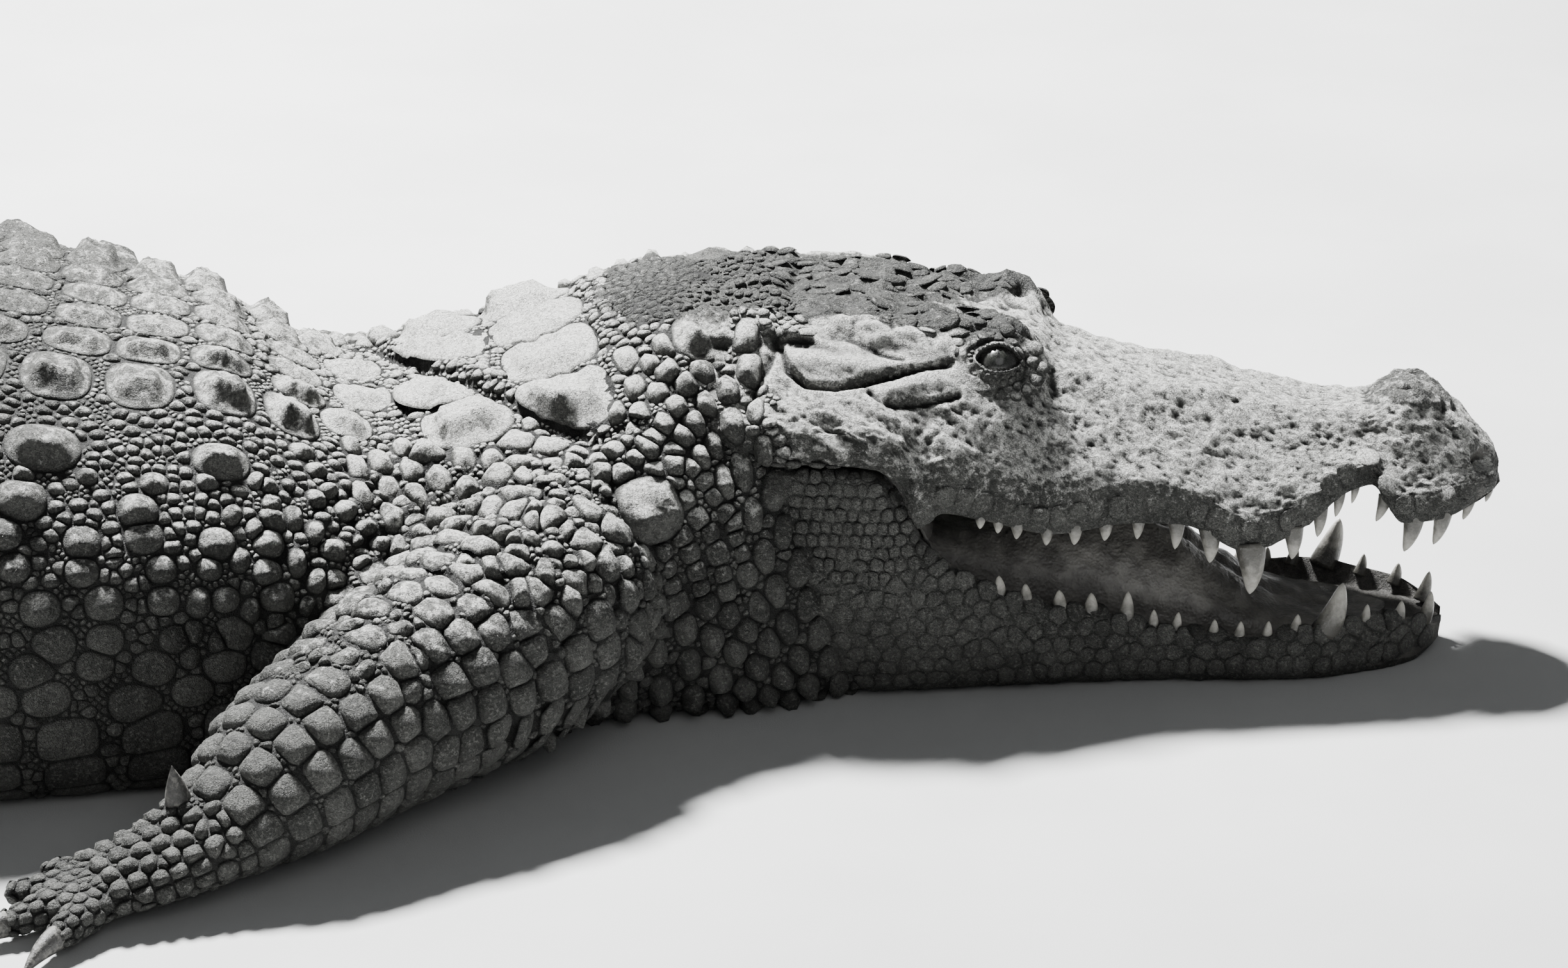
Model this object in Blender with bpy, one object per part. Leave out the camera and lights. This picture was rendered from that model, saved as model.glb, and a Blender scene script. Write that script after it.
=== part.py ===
"""A life-size still model of a mugger crocodile that rests on its belly with its mouth a little open.

The animal faces +X, its right side faces -Y and +Z is up. It is drawn from the back of its skull, with s
running back along the spine, and the finished model is then moved so that the middle of its footprint is
the origin. Head, neck, trunk, tail lengths, limbs, eyes, tongue and claws are one closed solid each, and
every two neighbours are parted by a thin cut.
"""

import math

import bmesh
import bpy
import numpy as np
from mathutils import Vector

GAP = 0.0004  # the cut between two neighbours
HEAD_YAW = math.radians(-5.0)  # the snout turns a little to the animal's right
HEAD_ROLL = math.radians(-3.0)  # and the head leans to its left, about a line along the right upper lip
ROLL_AXIS_Y, ROLL_AXIS_Z = -0.10, 0.12
HEAD_LENGTH = 0.492  # back of the skull to the tip of the snout
REAR_X, REAR_Z, REAR_LEAN = -0.024, 0.2, -0.3  # the slanting plane where the neck's collar meets the head
EYE_CENTRE, EYE_RADIUS = (0.145, 0.0735, 0.2240), 0.0175

# Head, as seen from the side and from above: (distance in front of the skull's back, size)
TOP = [(-0.05, 0.257), (0.03, 0.257), (0.10, 0.246), (0.14, 0.240), (0.165, 0.233), (0.19, 0.222),
       (0.24, 0.211), (0.31, 0.198), (0.36, 0.188), (0.395, 0.188), (0.424, 0.199), (0.450, 0.191),
       (0.475, 0.168), (0.486, 0.155), (0.492, 0.144)]
TABLE_HALF = [(-0.05, 0.062), (0.05, 0.065), (0.10, 0.061), (0.145, 0.058), (0.17, 0.053), (0.19, 0.046),
              (0.24, 0.039), (0.31, 0.034), (0.38, 0.028), (0.424, 0.031), (0.455, 0.027), (0.480, 0.018),
              (0.492, 0.004)]
TABLE_Z = [(-0.05, 0.260), (0.05, 0.256), (0.10, 0.251), (0.145, 0.250), (0.165, 0.242), (0.187, 0.216),
           (0.24, 0.206), (0.31, 0.196), (0.36, 0.186), (0.395, 0.185), (0.424, 0.195), (0.455, 0.183),
           (0.480, 0.161), (0.492, 0.143)]
SIDE_HALF = [(-0.05, 0.112), (0.03, 0.117), (0.09, 0.112), (0.145, 0.099), (0.19, 0.084), (0.24, 0.071),
             (0.31, 0.067), (0.36, 0.055), (0.398, 0.046), (0.424, 0.051), (0.455, 0.045), (0.480, 0.031),
             (0.492, 0.008)]
SIDE_Z = [(-0.05, 0.226), (0.03, 0.225), (0.09, 0.219), (0.145, 0.212), (0.19, 0.192), (0.24, 0.183),
          (0.31, 0.167), (0.40, 0.164), (0.424, 0.163), (0.455, 0.158), (0.480, 0.150), (0.492, 0.140)]
WIDTH = [(-0.05, 0.146), (0.02, 0.151), (0.07, 0.149), (0.112, 0.141), (0.15, 0.129), (0.20, 0.113),
         (0.25, 0.101), (0.28, 0.097), (0.312, 0.099), (0.34, 0.092), (0.375, 0.073), (0.398, 0.062),
         (0.424, 0.067), (0.45, 0.062), (0.475, 0.045), (0.486, 0.027), (0.492, 0.010)]
LIP = [(-0.05, 0.169), (0.02, 0.172), (0.066, 0.168), (0.085, 0.148), (0.096, 0.126), (0.112, 0.136),
       (0.14, 0.129), (0.19, 0.116), (0.24, 0.121), (0.275, 0.119), (0.318, 0.102), (0.345, 0.110),
       (0.366, 0.122), (0.384, 0.136), (0.400, 0.140), (0.424, 0.116), (0.45, 0.118), (0.475, 0.126),
       (0.492, 0.130)]
LIP_RISE = [(-0.05, 0.024), (0.05, 0.024), (0.10, 0.036), (0.20, 0.030), (0.31, 0.026), (0.40, 0.016),
            (0.45, 0.018), (0.48, 0.010), (0.492, 0.003)]
PALATE = [(-0.05, 0.1692), (0.066, 0.1692), (0.10, 0.150), (0.14, 0.142), (0.30, 0.136), (0.40, 0.152),
          (0.45, 0.144), (0.492, 0.1305)]
JAW_LENGTH = 0.456
JAW_HALF = [(-0.05, 0.144), (0.05, 0.146), (0.094, 0.139), (0.142, 0.124), (0.185, 0.112), (0.228, 0.100),
            (0.264, 0.092), (0.326, 0.086), (0.372, 0.077), (0.40, 0.061), (0.425, 0.047), (0.445, 0.027),
            (0.456, 0.008)]
JAW_TOP = [(-0.05, 0.1672), (0.02, 0.1675), (0.06, 0.1645), (0.085, 0.140), (0.096, 0.118), (0.142, 0.082),
           (0.185, 0.066), (0.228, 0.056), (0.264, 0.044), (0.326, 0.038), (0.372, 0.043), (0.425, 0.041),
           (0.456, 0.031)]
FLOOR_DEPTH = [(-0.05, 0.0), (0.07, 0.0), (0.11, 0.020), (0.16, 0.028), (0.30, 0.016), (0.40, 0.014),
               (0.456, 0.006)]
CHIN = [(-0.05, 0.0), (0.40, 0.0), (0.44, 0.004), (0.456, 0.014)]
TONGUE = [(0.100, 0.104), (0.13, 0.110), (0.20, 0.108), (0.25, 0.096), (0.30, 0.070), (0.36, 0.048)]
# Teeth of one side: (distance in front of the skull's back, length, width, how far the tip leans forward)
UPPER_TEETH = [(0.137, 0.007, 0.009, 0.0), (0.149, 0.008, 0.009, 0.0), (0.1615, 0.009, 0.010, 0.0),
               (0.1815, 0.010, 0.010, 0.0), (0.2005, 0.011, 0.011, 0.0), (0.221, 0.012, 0.011, 0.0),
               (0.243, 0.013, 0.010, 0.0), (0.269, 0.018, 0.012, 0.0), (0.292, 0.020, 0.015, 0.001),
               (0.320, 0.031, 0.021, 0.001), (0.349, 0.018, 0.014, 0.0), (0.367, 0.016, 0.011, -0.001),
               (0.380, 0.015, 0.009, -0.002), (0.391, 0.013, 0.007, -0.002), (0.412, 0.014, 0.010, -0.006),
               (0.432, 0.022, 0.015, -0.006), (0.452, 0.020, 0.013, -0.006), (0.470, 0.013, 0.009, -0.004),
               (0.484, 0.010, 0.007, -0.002)]
LOWER_TEETH = [(0.150, 0.010, 0.011, 0.0), (0.168, 0.010, 0.011, 0.0), (0.191, 0.011, 0.012, 0.0),
               (0.212, 0.012, 0.012, 0.001), (0.236, 0.016, 0.012, 0.002), (0.255, 0.011, 0.009, 0.001),
               (0.270, 0.012, 0.009, 0.003), (0.296, 0.010, 0.009, 0.002), (0.314, 0.010, 0.009, 0.002),
               (0.333, 0.010, 0.009, 0.002), (0.352, 0.012, 0.010, 0.003), (0.374, 0.030, 0.020, 0.011),
               (0.400, 0.012, 0.009, 0.003), (0.424, 0.012, 0.010, 0.003), (0.443, 0.016, 0.011, 0.005)]
TOOTH_ROOT = 0.010  # how deep a tooth sits in its jaw
TOOTH_INSET = 0.009  # how far inside the lip the tooth row runs

# Body, along the spine from the head: (s, half width, height of the back, height of the widest point)
BODY = [(0.0, 0.160, 0.250, 0.108), (0.05, 0.188, 0.258, 0.112), (0.10, 0.200, 0.243, 0.110),
        (0.145, 0.206, 0.222, 0.106), (0.20, 0.210, 0.210, 0.100), (0.275, 0.220, 0.194, 0.094),
        (0.32, 0.232, 0.210, 0.096), (0.38, 0.250, 0.246, 0.100), (0.45, 0.268, 0.260, 0.104),
        (0.54, 0.287, 0.279, 0.108), (0.70, 0.303, 0.296, 0.112), (0.90, 0.298, 0.295, 0.112),
        (1.05, 0.262, 0.285, 0.110), (1.18, 0.205, 0.267, 0.108), (1.30, 0.160, 0.248, 0.105),
        (1.55, 0.124, 0.220, 0.095), (1.90, 0.092, 0.186, 0.080), (2.30, 0.060, 0.145, 0.060),
        (2.70, 0.032, 0.094, 0.036), (2.95, 0.013, 0.045, 0.016), (3.02, 0.006, 0.024, 0.009)]
BODY_LENGTH = 3.02
BELLY_SINK = 1.25  # the belly's curve, this much deeper than the ground allows, is pressed flat on it
BACK_ROUND, BELLY_ROUND, TAIL_ROUND = 2.15, 4.0, 2.3  # superellipse powers: 2 is an ellipse, more is boxier
HEADING = [(-0.1, -5.0), (0.0, -5.0), (0.10, 9.0), (0.30, 12.0), (0.46, 2.0), (0.62, -6.0), (1.00, -4.0),
           (1.30, -8.0), (1.70, -34.0), (2.20, -62.0), (2.60, -58.0), (3.02, -30.0)]
NECK_END, TRUNK_MIDDLE, TAIL_START = 0.31, 0.78, 1.32
WHORL_FIRST, WHORL_LAST = 0.066, 0.034  # spacing of the tail's rings of scales at its root and its tip
CREST = [(1.20, 0.004), (1.40, 0.014), (1.80, 0.028), (2.20, 0.036), (2.45, 0.040), (2.75, 0.030),
         (3.02, 0.006)]
CREST_MERGE = 2.22  # two crests run back to here, and one runs on from here
CREST_SPREAD = 0.42  # how far out the two crests stand, as a share of the tail's half width
TAIL_WHORLS_IN_A_LENGTH = 8

# Limbs: (x, y, z, half width, half height) at the shoulder or hip, then on to the knuckles
RIGHT_ARM = [(-0.150, -0.110, 0.120, 0.068, 0.072), (-0.172, -0.205, 0.102, 0.084, 0.082),
             (-0.222, -0.268, 0.086, 0.080, 0.076), (-0.278, -0.328, 0.072, 0.069, 0.066),
             (-0.326, -0.384, 0.057, 0.060, 0.054), (-0.366, -0.424, 0.037, 0.044, 0.032),
             (-0.402, -0.447, 0.026, 0.040, 0.023), (-0.434, -0.466, 0.020, 0.037, 0.018)]
LEFT_ARM = [(-0.150, 0.110, 0.105, 0.060, 0.062), (-0.195, 0.176, 0.078, 0.072, 0.062),
            (-0.252, 0.226, 0.066, 0.070, 0.057), (-0.318, 0.272, 0.057, 0.064, 0.052),
            (-0.376, 0.314, 0.050, 0.058, 0.047), (-0.424, 0.350, 0.039, 0.044, 0.036),
            (-0.462, 0.374, 0.028, 0.040, 0.026), (-0.494, 0.392, 0.020, 0.037, 0.018)]
RIGHT_LEG = [(-1.150, -0.095, 0.135, 0.088, 0.095), (-1.095, -0.200, 0.122, 0.096, 0.100),
             (-1.015, -0.298, 0.100, 0.086, 0.088), (-0.985, -0.378, 0.078, 0.070, 0.070),
             (-1.040, -0.438, 0.060, 0.060, 0.056), (-1.110, -0.472, 0.045, 0.048, 0.043),
             (-1.140, -0.512, 0.032, 0.045, 0.030), (-1.120, -0.566, 0.022, 0.050, 0.020)]
LEFT_LEG = [(-1.150, 0.100, 0.135, 0.088, 0.095), (-1.150, 0.210, 0.122, 0.096, 0.098),
            (-1.105, 0.312, 0.098, 0.086, 0.084), (-1.110, 0.398, 0.076, 0.070, 0.068),
            (-1.180, 0.448, 0.058, 0.060, 0.054), (-1.256, 0.468, 0.044, 0.048, 0.041),
            (-1.300, 0.500, 0.031, 0.045, 0.029), (-1.304, 0.556, 0.022, 0.050, 0.020)]
LIMB_CUTS = (0, 3, 5, 7)  # which of a limb's stations are its root, elbow or knee, wrist or ankle, and end
# Digits of a right foot: (turn from the foot's own direction in degrees, length, radius, has a claw)
HAND_DIGITS = [(62, 0.050, 0.0125, True), (30, 0.068, 0.0130, True), (2, 0.076, 0.0130, True),
               (-26, 0.066, 0.0115, False), (-56, 0.052, 0.0105, False)]
FOOT_DIGITS = [(42, 0.085, 0.0150, True), (16, 0.108, 0.0160, True), (-10, 0.112, 0.0155, True),
               (-38, 0.092, 0.0130, False)]
RAISED_THUMB = (-0.385, -0.428, 0.045)  # the right hand's first digit is folded up on the wrist
RAISED_LENGTH, RAISED_CLAW_LENGTH = 0.020, 0.022
CLAW_LENGTH, CLAW_RADIUS, CLAW_CURVE = 0.033, 0.0095, 0.35
SKIN_COLOUR, EYE_COLOUR = (0.17, 0.172, 0.16), (0.035, 0.036, 0.033)
CLAW_COLOUR, TONGUE_COLOUR = (0.06, 0.06, 0.058), (0.20, 0.19, 0.18)


def through(rows, at):
    """Reads the smooth curve through rows of (place, value, ...) at one or more places."""
    rows = np.asarray(rows, float)
    place, value = rows[:, 0], rows[:, 1:]
    step = np.diff(place)[:, None]
    slope = np.diff(value, axis=0) / step
    same_way = slope[:-1] * slope[1:] > 0
    total = np.where(same_way, slope[:-1] + slope[1:], 1.0)
    inner = np.where(same_way, 2 * slope[:-1] * slope[1:] / total, 0.0)
    tangent = np.vstack([slope[:1], inner, slope[-1:]])
    at = np.asarray(at, float)
    i = np.clip(np.searchsorted(place, at, side="right") - 1, 0, len(place) - 2)
    t = np.clip((at - place[i]) / (place[i + 1] - place[i]), 0.0, 1.0)[..., None]
    found = ((2 * t**3 - 3 * t**2 + 1) * value[i] + (t**3 - 2 * t**2 + t) * step[i] * tangent[i]
             + (3 * t**2 - 2 * t**3) * value[i + 1] + (t**3 - t**2) * step[i] * tangent[i + 1])
    return found[..., 0] if found.shape[-1] == 1 else found


def fade(value, full, none):
    """1 at full, 0 at none, and smooth between them."""
    t = np.clip((value - none) / (full - none), 0.0, 1.0)
    return t * t * (3 - 2 * t)


def evenly(points, count):
    """count points, evenly spaced along a polyline."""
    along = np.concatenate([[0.0], np.cumsum(np.linalg.norm(np.diff(points, axis=0), axis=1))])
    at = np.linspace(0.0, along[-1], count)
    return np.stack([np.interp(at, along, points[:, k]) for k in range(points.shape[1])], axis=1)


def whole_ring(half_outline, x):
    """A closed ring at x, from half an outline of (y, z) that starts and ends at y = 0."""
    half = np.asarray(half_outline, float)
    ring = np.vstack([half, (half * [-1, 1])[-2:0:-1]])
    return np.column_stack([np.full(len(ring), x), ring])


# The head -----------------------------------------------------------------------------------------

def to_body_frame(points):
    """Puts points of the straight head where they are on the animal: leaned over, turned and above ground.

    The back of the head is slanted to the plane of the neck's collar.
    """
    turned = np.array(points, float)
    y, z = turned[:, 1] - ROLL_AXIS_Y, turned[:, 2] - ROLL_AXIS_Z
    turned[:, 1] = ROLL_AXIS_Y + y * math.cos(HEAD_ROLL) - z * math.sin(HEAD_ROLL)
    turned[:, 2] = np.maximum(ROLL_AXIS_Z + y * math.sin(HEAD_ROLL) + z * math.cos(HEAD_ROLL), 0.0)
    turned[:, 0] += REAR_LEAN * (turned[:, 2] - REAR_Z) * fade(turned[:, 0], REAR_X, 0.10)
    c, s = math.cos(HEAD_YAW), math.sin(HEAD_YAW)
    return turned @ np.array([[c, s, 0.0], [-s, c, 0.0], [0.0, 0.0, 1.0]])


def skull_ring(x):
    """Skull and upper jaw: flat on top between the brows, sloping out to the lips, with a shallow palate."""
    width, lip, rise = through(WIDTH, x), through(LIP, x), through(LIP_RISE, x)
    table, side = through(TABLE_HALF, x), through(SIDE_HALF, x)
    top, table_z = through(TOP, x), through(TABLE_Z, x)
    palate = max(through(PALATE, x), lip + 0.0002)
    outline = [(0, top), (0.6 * table, 0.45 * top + 0.55 * table_z), (table, table_z),
               (side, through(SIDE_Z, x)), (width, lip + rise), (0.985 * width, lip + 0.25 * rise),
               (0.94 * width, lip), (0.82 * width, lip), (0.6 * width, 0.7 * palate + 0.3 * lip),
               (0, palate)]
    return whole_ring(outline, x)


def jaw_ring(x):
    """Lower jaw: two rami with the mouth's floor sunk between them, flat where it lies on the ground."""
    half, top, chin = through(JAW_HALF, x), through(JAW_TOP, x), through(CHIN, x)
    floor = top - through(FLOOR_DEPTH, x)
    outline = [(0, floor), (0.45 * half, floor), (0.78 * half, floor), (0.90 * half, top),
               (0.98 * half, top - 0.004), (half, 0.55 * top + 0.45 * chin),
               (0.93 * half, chin + 0.14 * (top - chin)), (0.78 * half, chin), (0, chin)]
    return whole_ring(outline, x)


def tongue_ring(x):
    """The tongue, a low pad on the mouth's floor."""
    half = 0.66 * through(JAW_HALF, x)
    base = through(JAW_TOP, x) - through(FLOOR_DEPTH, x) + 0.003
    crown = through(TONGUE, x)
    angle = np.linspace(0.5 * math.pi, 0.0, 6)
    outline = [(half * math.cos(a), base + (crown - base) * math.sin(a) ** 0.7) for a in angle]
    return whole_ring([*outline, (0.0, base)], x)


# The body -----------------------------------------------------------------------------------------

def spine(s):
    """The point on the ground below the spine at s, and the unit vectors back along it and to its left."""
    fine = np.arange(0.0, BODY_LENGTH + 0.2, 0.01)
    heading = np.radians(through(HEADING, fine))
    steps = 0.01 * np.column_stack([-np.cos(heading), -np.sin(heading)])
    path = np.vstack([[0.0, 0.0], np.cumsum(steps, axis=0)])[:-1]
    here = np.array([REAR_X * math.cos(HEAD_YAW) + np.interp(s, fine, path[:, 0]),
                     REAR_X * math.sin(HEAD_YAW) + np.interp(s, fine, path[:, 1])])
    angle = math.radians(float(through(HEADING, s)))
    back = np.array([-math.cos(angle), -math.sin(angle), 0.0])
    return np.array([*here, 0.0]), back, np.array([back[1], -back[0], 0.0])


def body_outline(s):
    """Half of the body's section: a domed back and a full, flat-lying belly."""
    half, top, widest = through(BODY, s)
    belly = TAIL_ROUND + (BELLY_ROUND - TAIL_ROUND) * fade(s, 0.9, 1.6)
    angle = np.linspace(0.0, math.pi, 90)
    upper = angle < math.pi / 2
    power = np.where(upper, 2.0 / BACK_ROUND, 2.0 / belly)
    reach = np.where(upper, top - widest, -BELLY_SINK * widest)
    y = half * np.abs(np.sin(angle)) ** power
    z = widest + reach * np.abs(np.cos(angle)) ** power
    return np.column_stack([y, np.maximum(z, 0.0)])


def crest_height(s, whorl_start, whorl_length):
    """The tail's crest is a row of scales, each rising to its hind end."""
    return float(through(CREST, s)) * (0.3 + 0.7 * (s - whorl_start) / whorl_length)


def body_ring(s, count, grow=0.0, crest=0.0):
    """One ring of the body, grown on all sides or with the crests that the tail has."""
    ring = whole_ring(evenly(body_outline(s), count // 2 + 1), 0.0)
    half, _, widest = through(BODY, s)
    outward = ring - [0.0, 0.0, widest]
    ring += grow * outward / np.linalg.norm(outward, axis=1, keepdims=True)
    if crest:
        twin = fade(s, CREST_MERGE - 0.12, CREST_MERGE + 0.02)
        ring[0, 2] += crest * (1 - twin)
        for i, side in ((1, 1), (-1, -1)):
            ring[i, 1] = side * half * (CREST_SPREAD * twin + 0.30 * (1 - twin))
            ring[i, 2] += crest * twin
    origin, back, left = spine(s)
    shift = -REAR_LEAN * (ring[:, 2] - REAR_Z) * fade(s, 0.0, 0.20)
    return origin + np.outer(shift, back) + np.outer(ring[:, 1], left) + np.outer(ring[:, 2], [0, 0, 1])


def whorls():
    """(start, length) of each ring of scales along the tail."""
    found, s = [], TAIL_START
    while s < BODY_LENGTH - WHORL_LAST:
        length = float(through([(TAIL_START, WHORL_FIRST), (BODY_LENGTH, WHORL_LAST)], s))
        found.append((s, length))
        s += length
    return found


# Limbs --------------------------------------------------------------------------------------------

def limb_ring(stations, u, count, slide=0.0):
    """A ring across a limb at u, counted in stations, and moved along it by slide. It stays above ground."""
    rows = np.column_stack([np.arange(len(stations)), stations])
    x, y, z, half_width, half_height = through(rows, u)
    ahead, behind = through(rows, min(u + 0.6, len(stations) - 1.0)), through(rows, max(u - 0.6, 0.0))
    along = Vector(ahead[:3] - behind[:3]).normalized()
    side = along.cross(Vector((0, 0, 1))).normalized()
    up = side.cross(along)
    angle = 2 * math.pi * (np.arange(count) + 0.5) / count
    ring = (np.array([x, y, z]) + slide * np.array(along) + np.outer(half_width * np.cos(angle), side)
            + np.outer(half_height * np.sin(angle), up))
    ring[:, 2] = np.maximum(ring[:, 2], 0.0)
    return ring


def digit_line(stations, turn, length, raised):
    """Where a digit starts in the foot, the way it points, and its tip. The turn is seen from above."""
    if raised:
        start, way = Vector(RAISED_THUMB), Vector((-0.12, -0.05, 1.0)).normalized()
        return start, way, start + way * RAISED_LENGTH
    end, before = Vector(stations[-1][:3]), Vector(stations[-2][:3])
    ahead = (end - before).to_2d().normalized()
    angle = math.radians(turn)
    way = Vector((ahead.x * math.cos(angle) - ahead.y * math.sin(angle),
                  ahead.x * math.sin(angle) + ahead.y * math.cos(angle), 0.0))
    start = end - Vector((ahead.x, ahead.y, 0)) * 0.020 + way * 0.012
    way.z = -0.10
    return start, way.normalized(), start + way.normalized() * length


def digit_rings(start, way, length, radius, count=6):
    """A jointed toe, thick at its knuckles and blunt at its tip."""
    shares = (0.0, 0.30, 0.45, 0.70, 0.92, 1.0)
    swell = (1.05, 1.00, 1.08, 0.92, 0.85, 0.66)
    side = way.cross(Vector((0, 0, 1))).normalized()
    up = side.cross(way)
    angle = 2 * math.pi * (np.arange(count) + 0.5) / count
    rings = []
    for share, size in zip(shares, swell):
        centre = np.array(start + way * length * share)
        centre[2] = max(centre[2], radius * size * 0.8)
        ring = (centre + np.outer(radius * size * np.cos(angle), side)
                + np.outer(radius * size * np.sin(angle), up))
        ring[:, 2] = np.maximum(ring[:, 2], 0.0)
        rings.append(ring)
    return rings


# Meshes -------------------------------------------------------------------------------------------

def material(name, colour, roughness):
    made = bpy.data.materials.new(name)
    made.use_nodes = True
    shader = made.node_tree.nodes["Principled BSDF"]
    shader.inputs["Base Color"].default_value = (*colour, 1.0)
    shader.inputs["Roughness"].default_value = roughness
    return made


def link(name, mesh, collection, finish):
    node = bpy.data.objects.new(name, mesh)
    collection.objects.link(node)
    if finish:
        mesh.materials.append(finish)
    mesh.shade_smooth()
    mesh.set_sharp_from_angle(angle=math.radians(40))
    return node


def loft(name, rings, collection, finish=None):
    """A closed solid through the rings, capped at both ends."""
    shape = bmesh.new()
    made = [[shape.verts.new(point) for point in ring] for ring in rings]
    for ring, after in zip(made, made[1:]):
        for i in range(len(ring)):
            j = (i + 1) % len(ring)
            shape.faces.new((ring[i], ring[j], after[j]))
            shape.faces.new((ring[i], after[j], after[i]))
    shape.faces.new(made[0][::-1])
    shape.faces.new(made[-1])
    bmesh.ops.remove_doubles(shape, verts=shape.verts, dist=1e-6)
    bmesh.ops.triangulate(shape, faces=shape.faces)
    bmesh.ops.recalc_face_normals(shape, faces=shape.faces)
    mesh = bpy.data.meshes.new(name)
    shape.to_mesh(mesh)
    shape.free()
    return link(name, mesh, collection, finish)


def boolean(node, operation, other):
    change = node.modifiers.new(operation.title(), "BOOLEAN")
    change.operation = operation
    change.object = other
    change.solver = "EXACT"


def teeth(name, rows, row_half, lip, points_down, collection, finish):
    """All the teeth of one jaw, as cones rooted in its edge."""
    shape = bmesh.new()
    way = -1 if points_down else 1
    for x, length, width, lean in rows:
        for side in (-1, 1):
            y = side * max(float(through(row_half, x)) - TOOTH_INSET, 0.002)
            foot = Vector((x, y, float(through(lip, x)) - way * TOOTH_ROOT))
            tip = Vector((x + lean, y, float(through(lip, x)) + way * length))
            cone = bmesh.ops.create_cone(shape, cap_ends=True, cap_tris=True, segments=5,
                                         radius1=0.55 * width, radius2=0.0008, depth=(tip - foot).length)
            turn = (tip - foot).to_track_quat("Z", "Y").to_matrix().to_4x4()
            turn.translation = (tip + foot) / 2
            bmesh.ops.transform(shape, matrix=turn, verts=cone["verts"])
    mesh = bpy.data.meshes.new(name)
    shape.to_mesh(mesh)
    shape.free()
    mesh.vertices.foreach_set("co", to_body_frame([v.co for v in mesh.vertices]).ravel())
    return link(name, mesh, collection, finish)


def ball(name, centre, radius, collection, finish=None):
    shape = bmesh.new()
    bmesh.ops.create_uvsphere(shape, u_segments=12, v_segments=8, radius=radius)
    bmesh.ops.translate(shape, verts=shape.verts, vec=centre)
    mesh = bpy.data.meshes.new(name)
    shape.to_mesh(mesh)
    shape.free()
    return link(name, mesh, collection, finish)


def helper(node):
    """A cutter or a joined-on shape, which isn't a part of its own."""
    node.hide_render = True
    node.display_type = "WIRE"
    return node


# Assembly -----------------------------------------------------------------------------------------

def make_head(parts, tools, skin, tongue_skin, eye_skin):
    rear_to_tip = np.concatenate([np.linspace(REAR_X, 0.06, 4), np.linspace(0.078, 0.480, 27),
                                  [0.487, HEAD_LENGTH]])
    head = loft("head", [to_body_frame(skull_ring(x)) for x in rear_to_tip], parts, skin)
    boolean(head, "UNION", helper(teeth("teeth_upper", UPPER_TEETH, WIDTH, LIP, True, tools, skin)))
    jaw_places = np.concatenate([np.linspace(REAR_X, 0.06, 3), np.linspace(0.08, 0.445, 18), [JAW_LENGTH]])
    jaw = loft("lower_jaw", [to_body_frame(jaw_ring(x)) for x in jaw_places], parts, skin)
    boolean(jaw, "UNION", helper(teeth("teeth_lower", LOWER_TEETH, JAW_HALF, JAW_TOP, False, tools, skin)))
    tongue_places = np.linspace(TONGUE[0][0], TONGUE[-1][0], 8)
    loft("tongue", [to_body_frame(tongue_ring(x)) for x in tongue_places], parts, tongue_skin)
    for side, y in (("right", -EYE_CENTRE[1]), ("left", EYE_CENTRE[1])):
        centre = to_body_frame([[EYE_CENTRE[0], y, EYE_CENTRE[2]]])[0]
        ball(f"eye_{side}", centre, EYE_RADIUS, parts, eye_skin)
        socket = helper(ball(f"socket_{side}", centre, EYE_RADIUS + GAP, tools))
        boolean(head, "DIFFERENCE", socket)


def make_body(parts, tools, skin):
    """Neck, trunk and tail. Returns a slightly larger copy that the limbs are cut by."""
    grown = []
    for name, start, end, count in (("neck", 0.0, NECK_END, 9), ("trunk_front", NECK_END, TRUNK_MIDDLE, 9),
                                    ("trunk_rear", TRUNK_MIDDLE, TAIL_START, 9)):
        places = np.linspace(start + GAP, end - GAP, count)
        loft(name, [body_ring(s, 24) for s in places], parts, skin)
        grown += [body_ring(s, 24, grow=2 * GAP) for s in places]
    rows = whorls()
    for first in range(0, len(rows), TAIL_WHORLS_IN_A_LENGTH):
        lengths = rows[first:first + TAIL_WHORLS_IN_A_LENGTH]
        rings = []
        for start, length in lengths:
            for share in (GAP / length, 0.9):
                s = start + share * length
                rings.append(body_ring(s, 12, crest=crest_height(s, start, length)))
        s = lengths[-1][0] + lengths[-1][1] - GAP
        rings.append(body_ring(s, 12, crest=0.3 * float(through(CREST, s))))
        loft(f"tail_{first // TAIL_WHORLS_IN_A_LENGTH + 1}", rings, parts, skin)
    return helper(loft("body_cutter", grown, tools))


def make_limb(side, kind, stations, digits, body_cutter, parts, tools, skin, claw_skin):
    """A limb as upper part, lower part and foot, with the toes joined to the foot and the claws apart."""
    names = {"arm": ("upper_arm", "forearm", "hand"), "leg": ("thigh", "shank", "foot")}[kind]
    for name, start, end in zip(names, LIMB_CUTS, LIMB_CUTS[1:]):
        places = np.linspace(start, end, 2 * (end - start) + 1)
        slides = [2 * GAP, *[0.0] * (len(places) - 2), -2 * GAP]
        rings = [limb_ring(stations, u, 12, slide) for u, slide in zip(places, slides)]
        node = loft(f"{name}_{side}", rings, parts, skin)
        if name != names[2]:
            boolean(node, "DIFFERENCE", body_cutter)
            continue
        for number, (turn, length, radius, clawed) in enumerate(digits, 1):
            raised = number == 1 and stations is RIGHT_ARM
            start_point, way, tip = digit_line(stations, turn if side == "right" else -turn, length, raised)
            rings = digit_rings(start_point, way, (tip - start_point).length, radius)
            boolean(node, "UNION", helper(loft(f"toe_{kind}_{side}_{number}", rings, tools, skin)))
            if clawed:
                rings = claw_rings(tip, way, radius, raised)
                loft(f"claw_{kind}_{side}_{number}", rings, parts, claw_skin)


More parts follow.
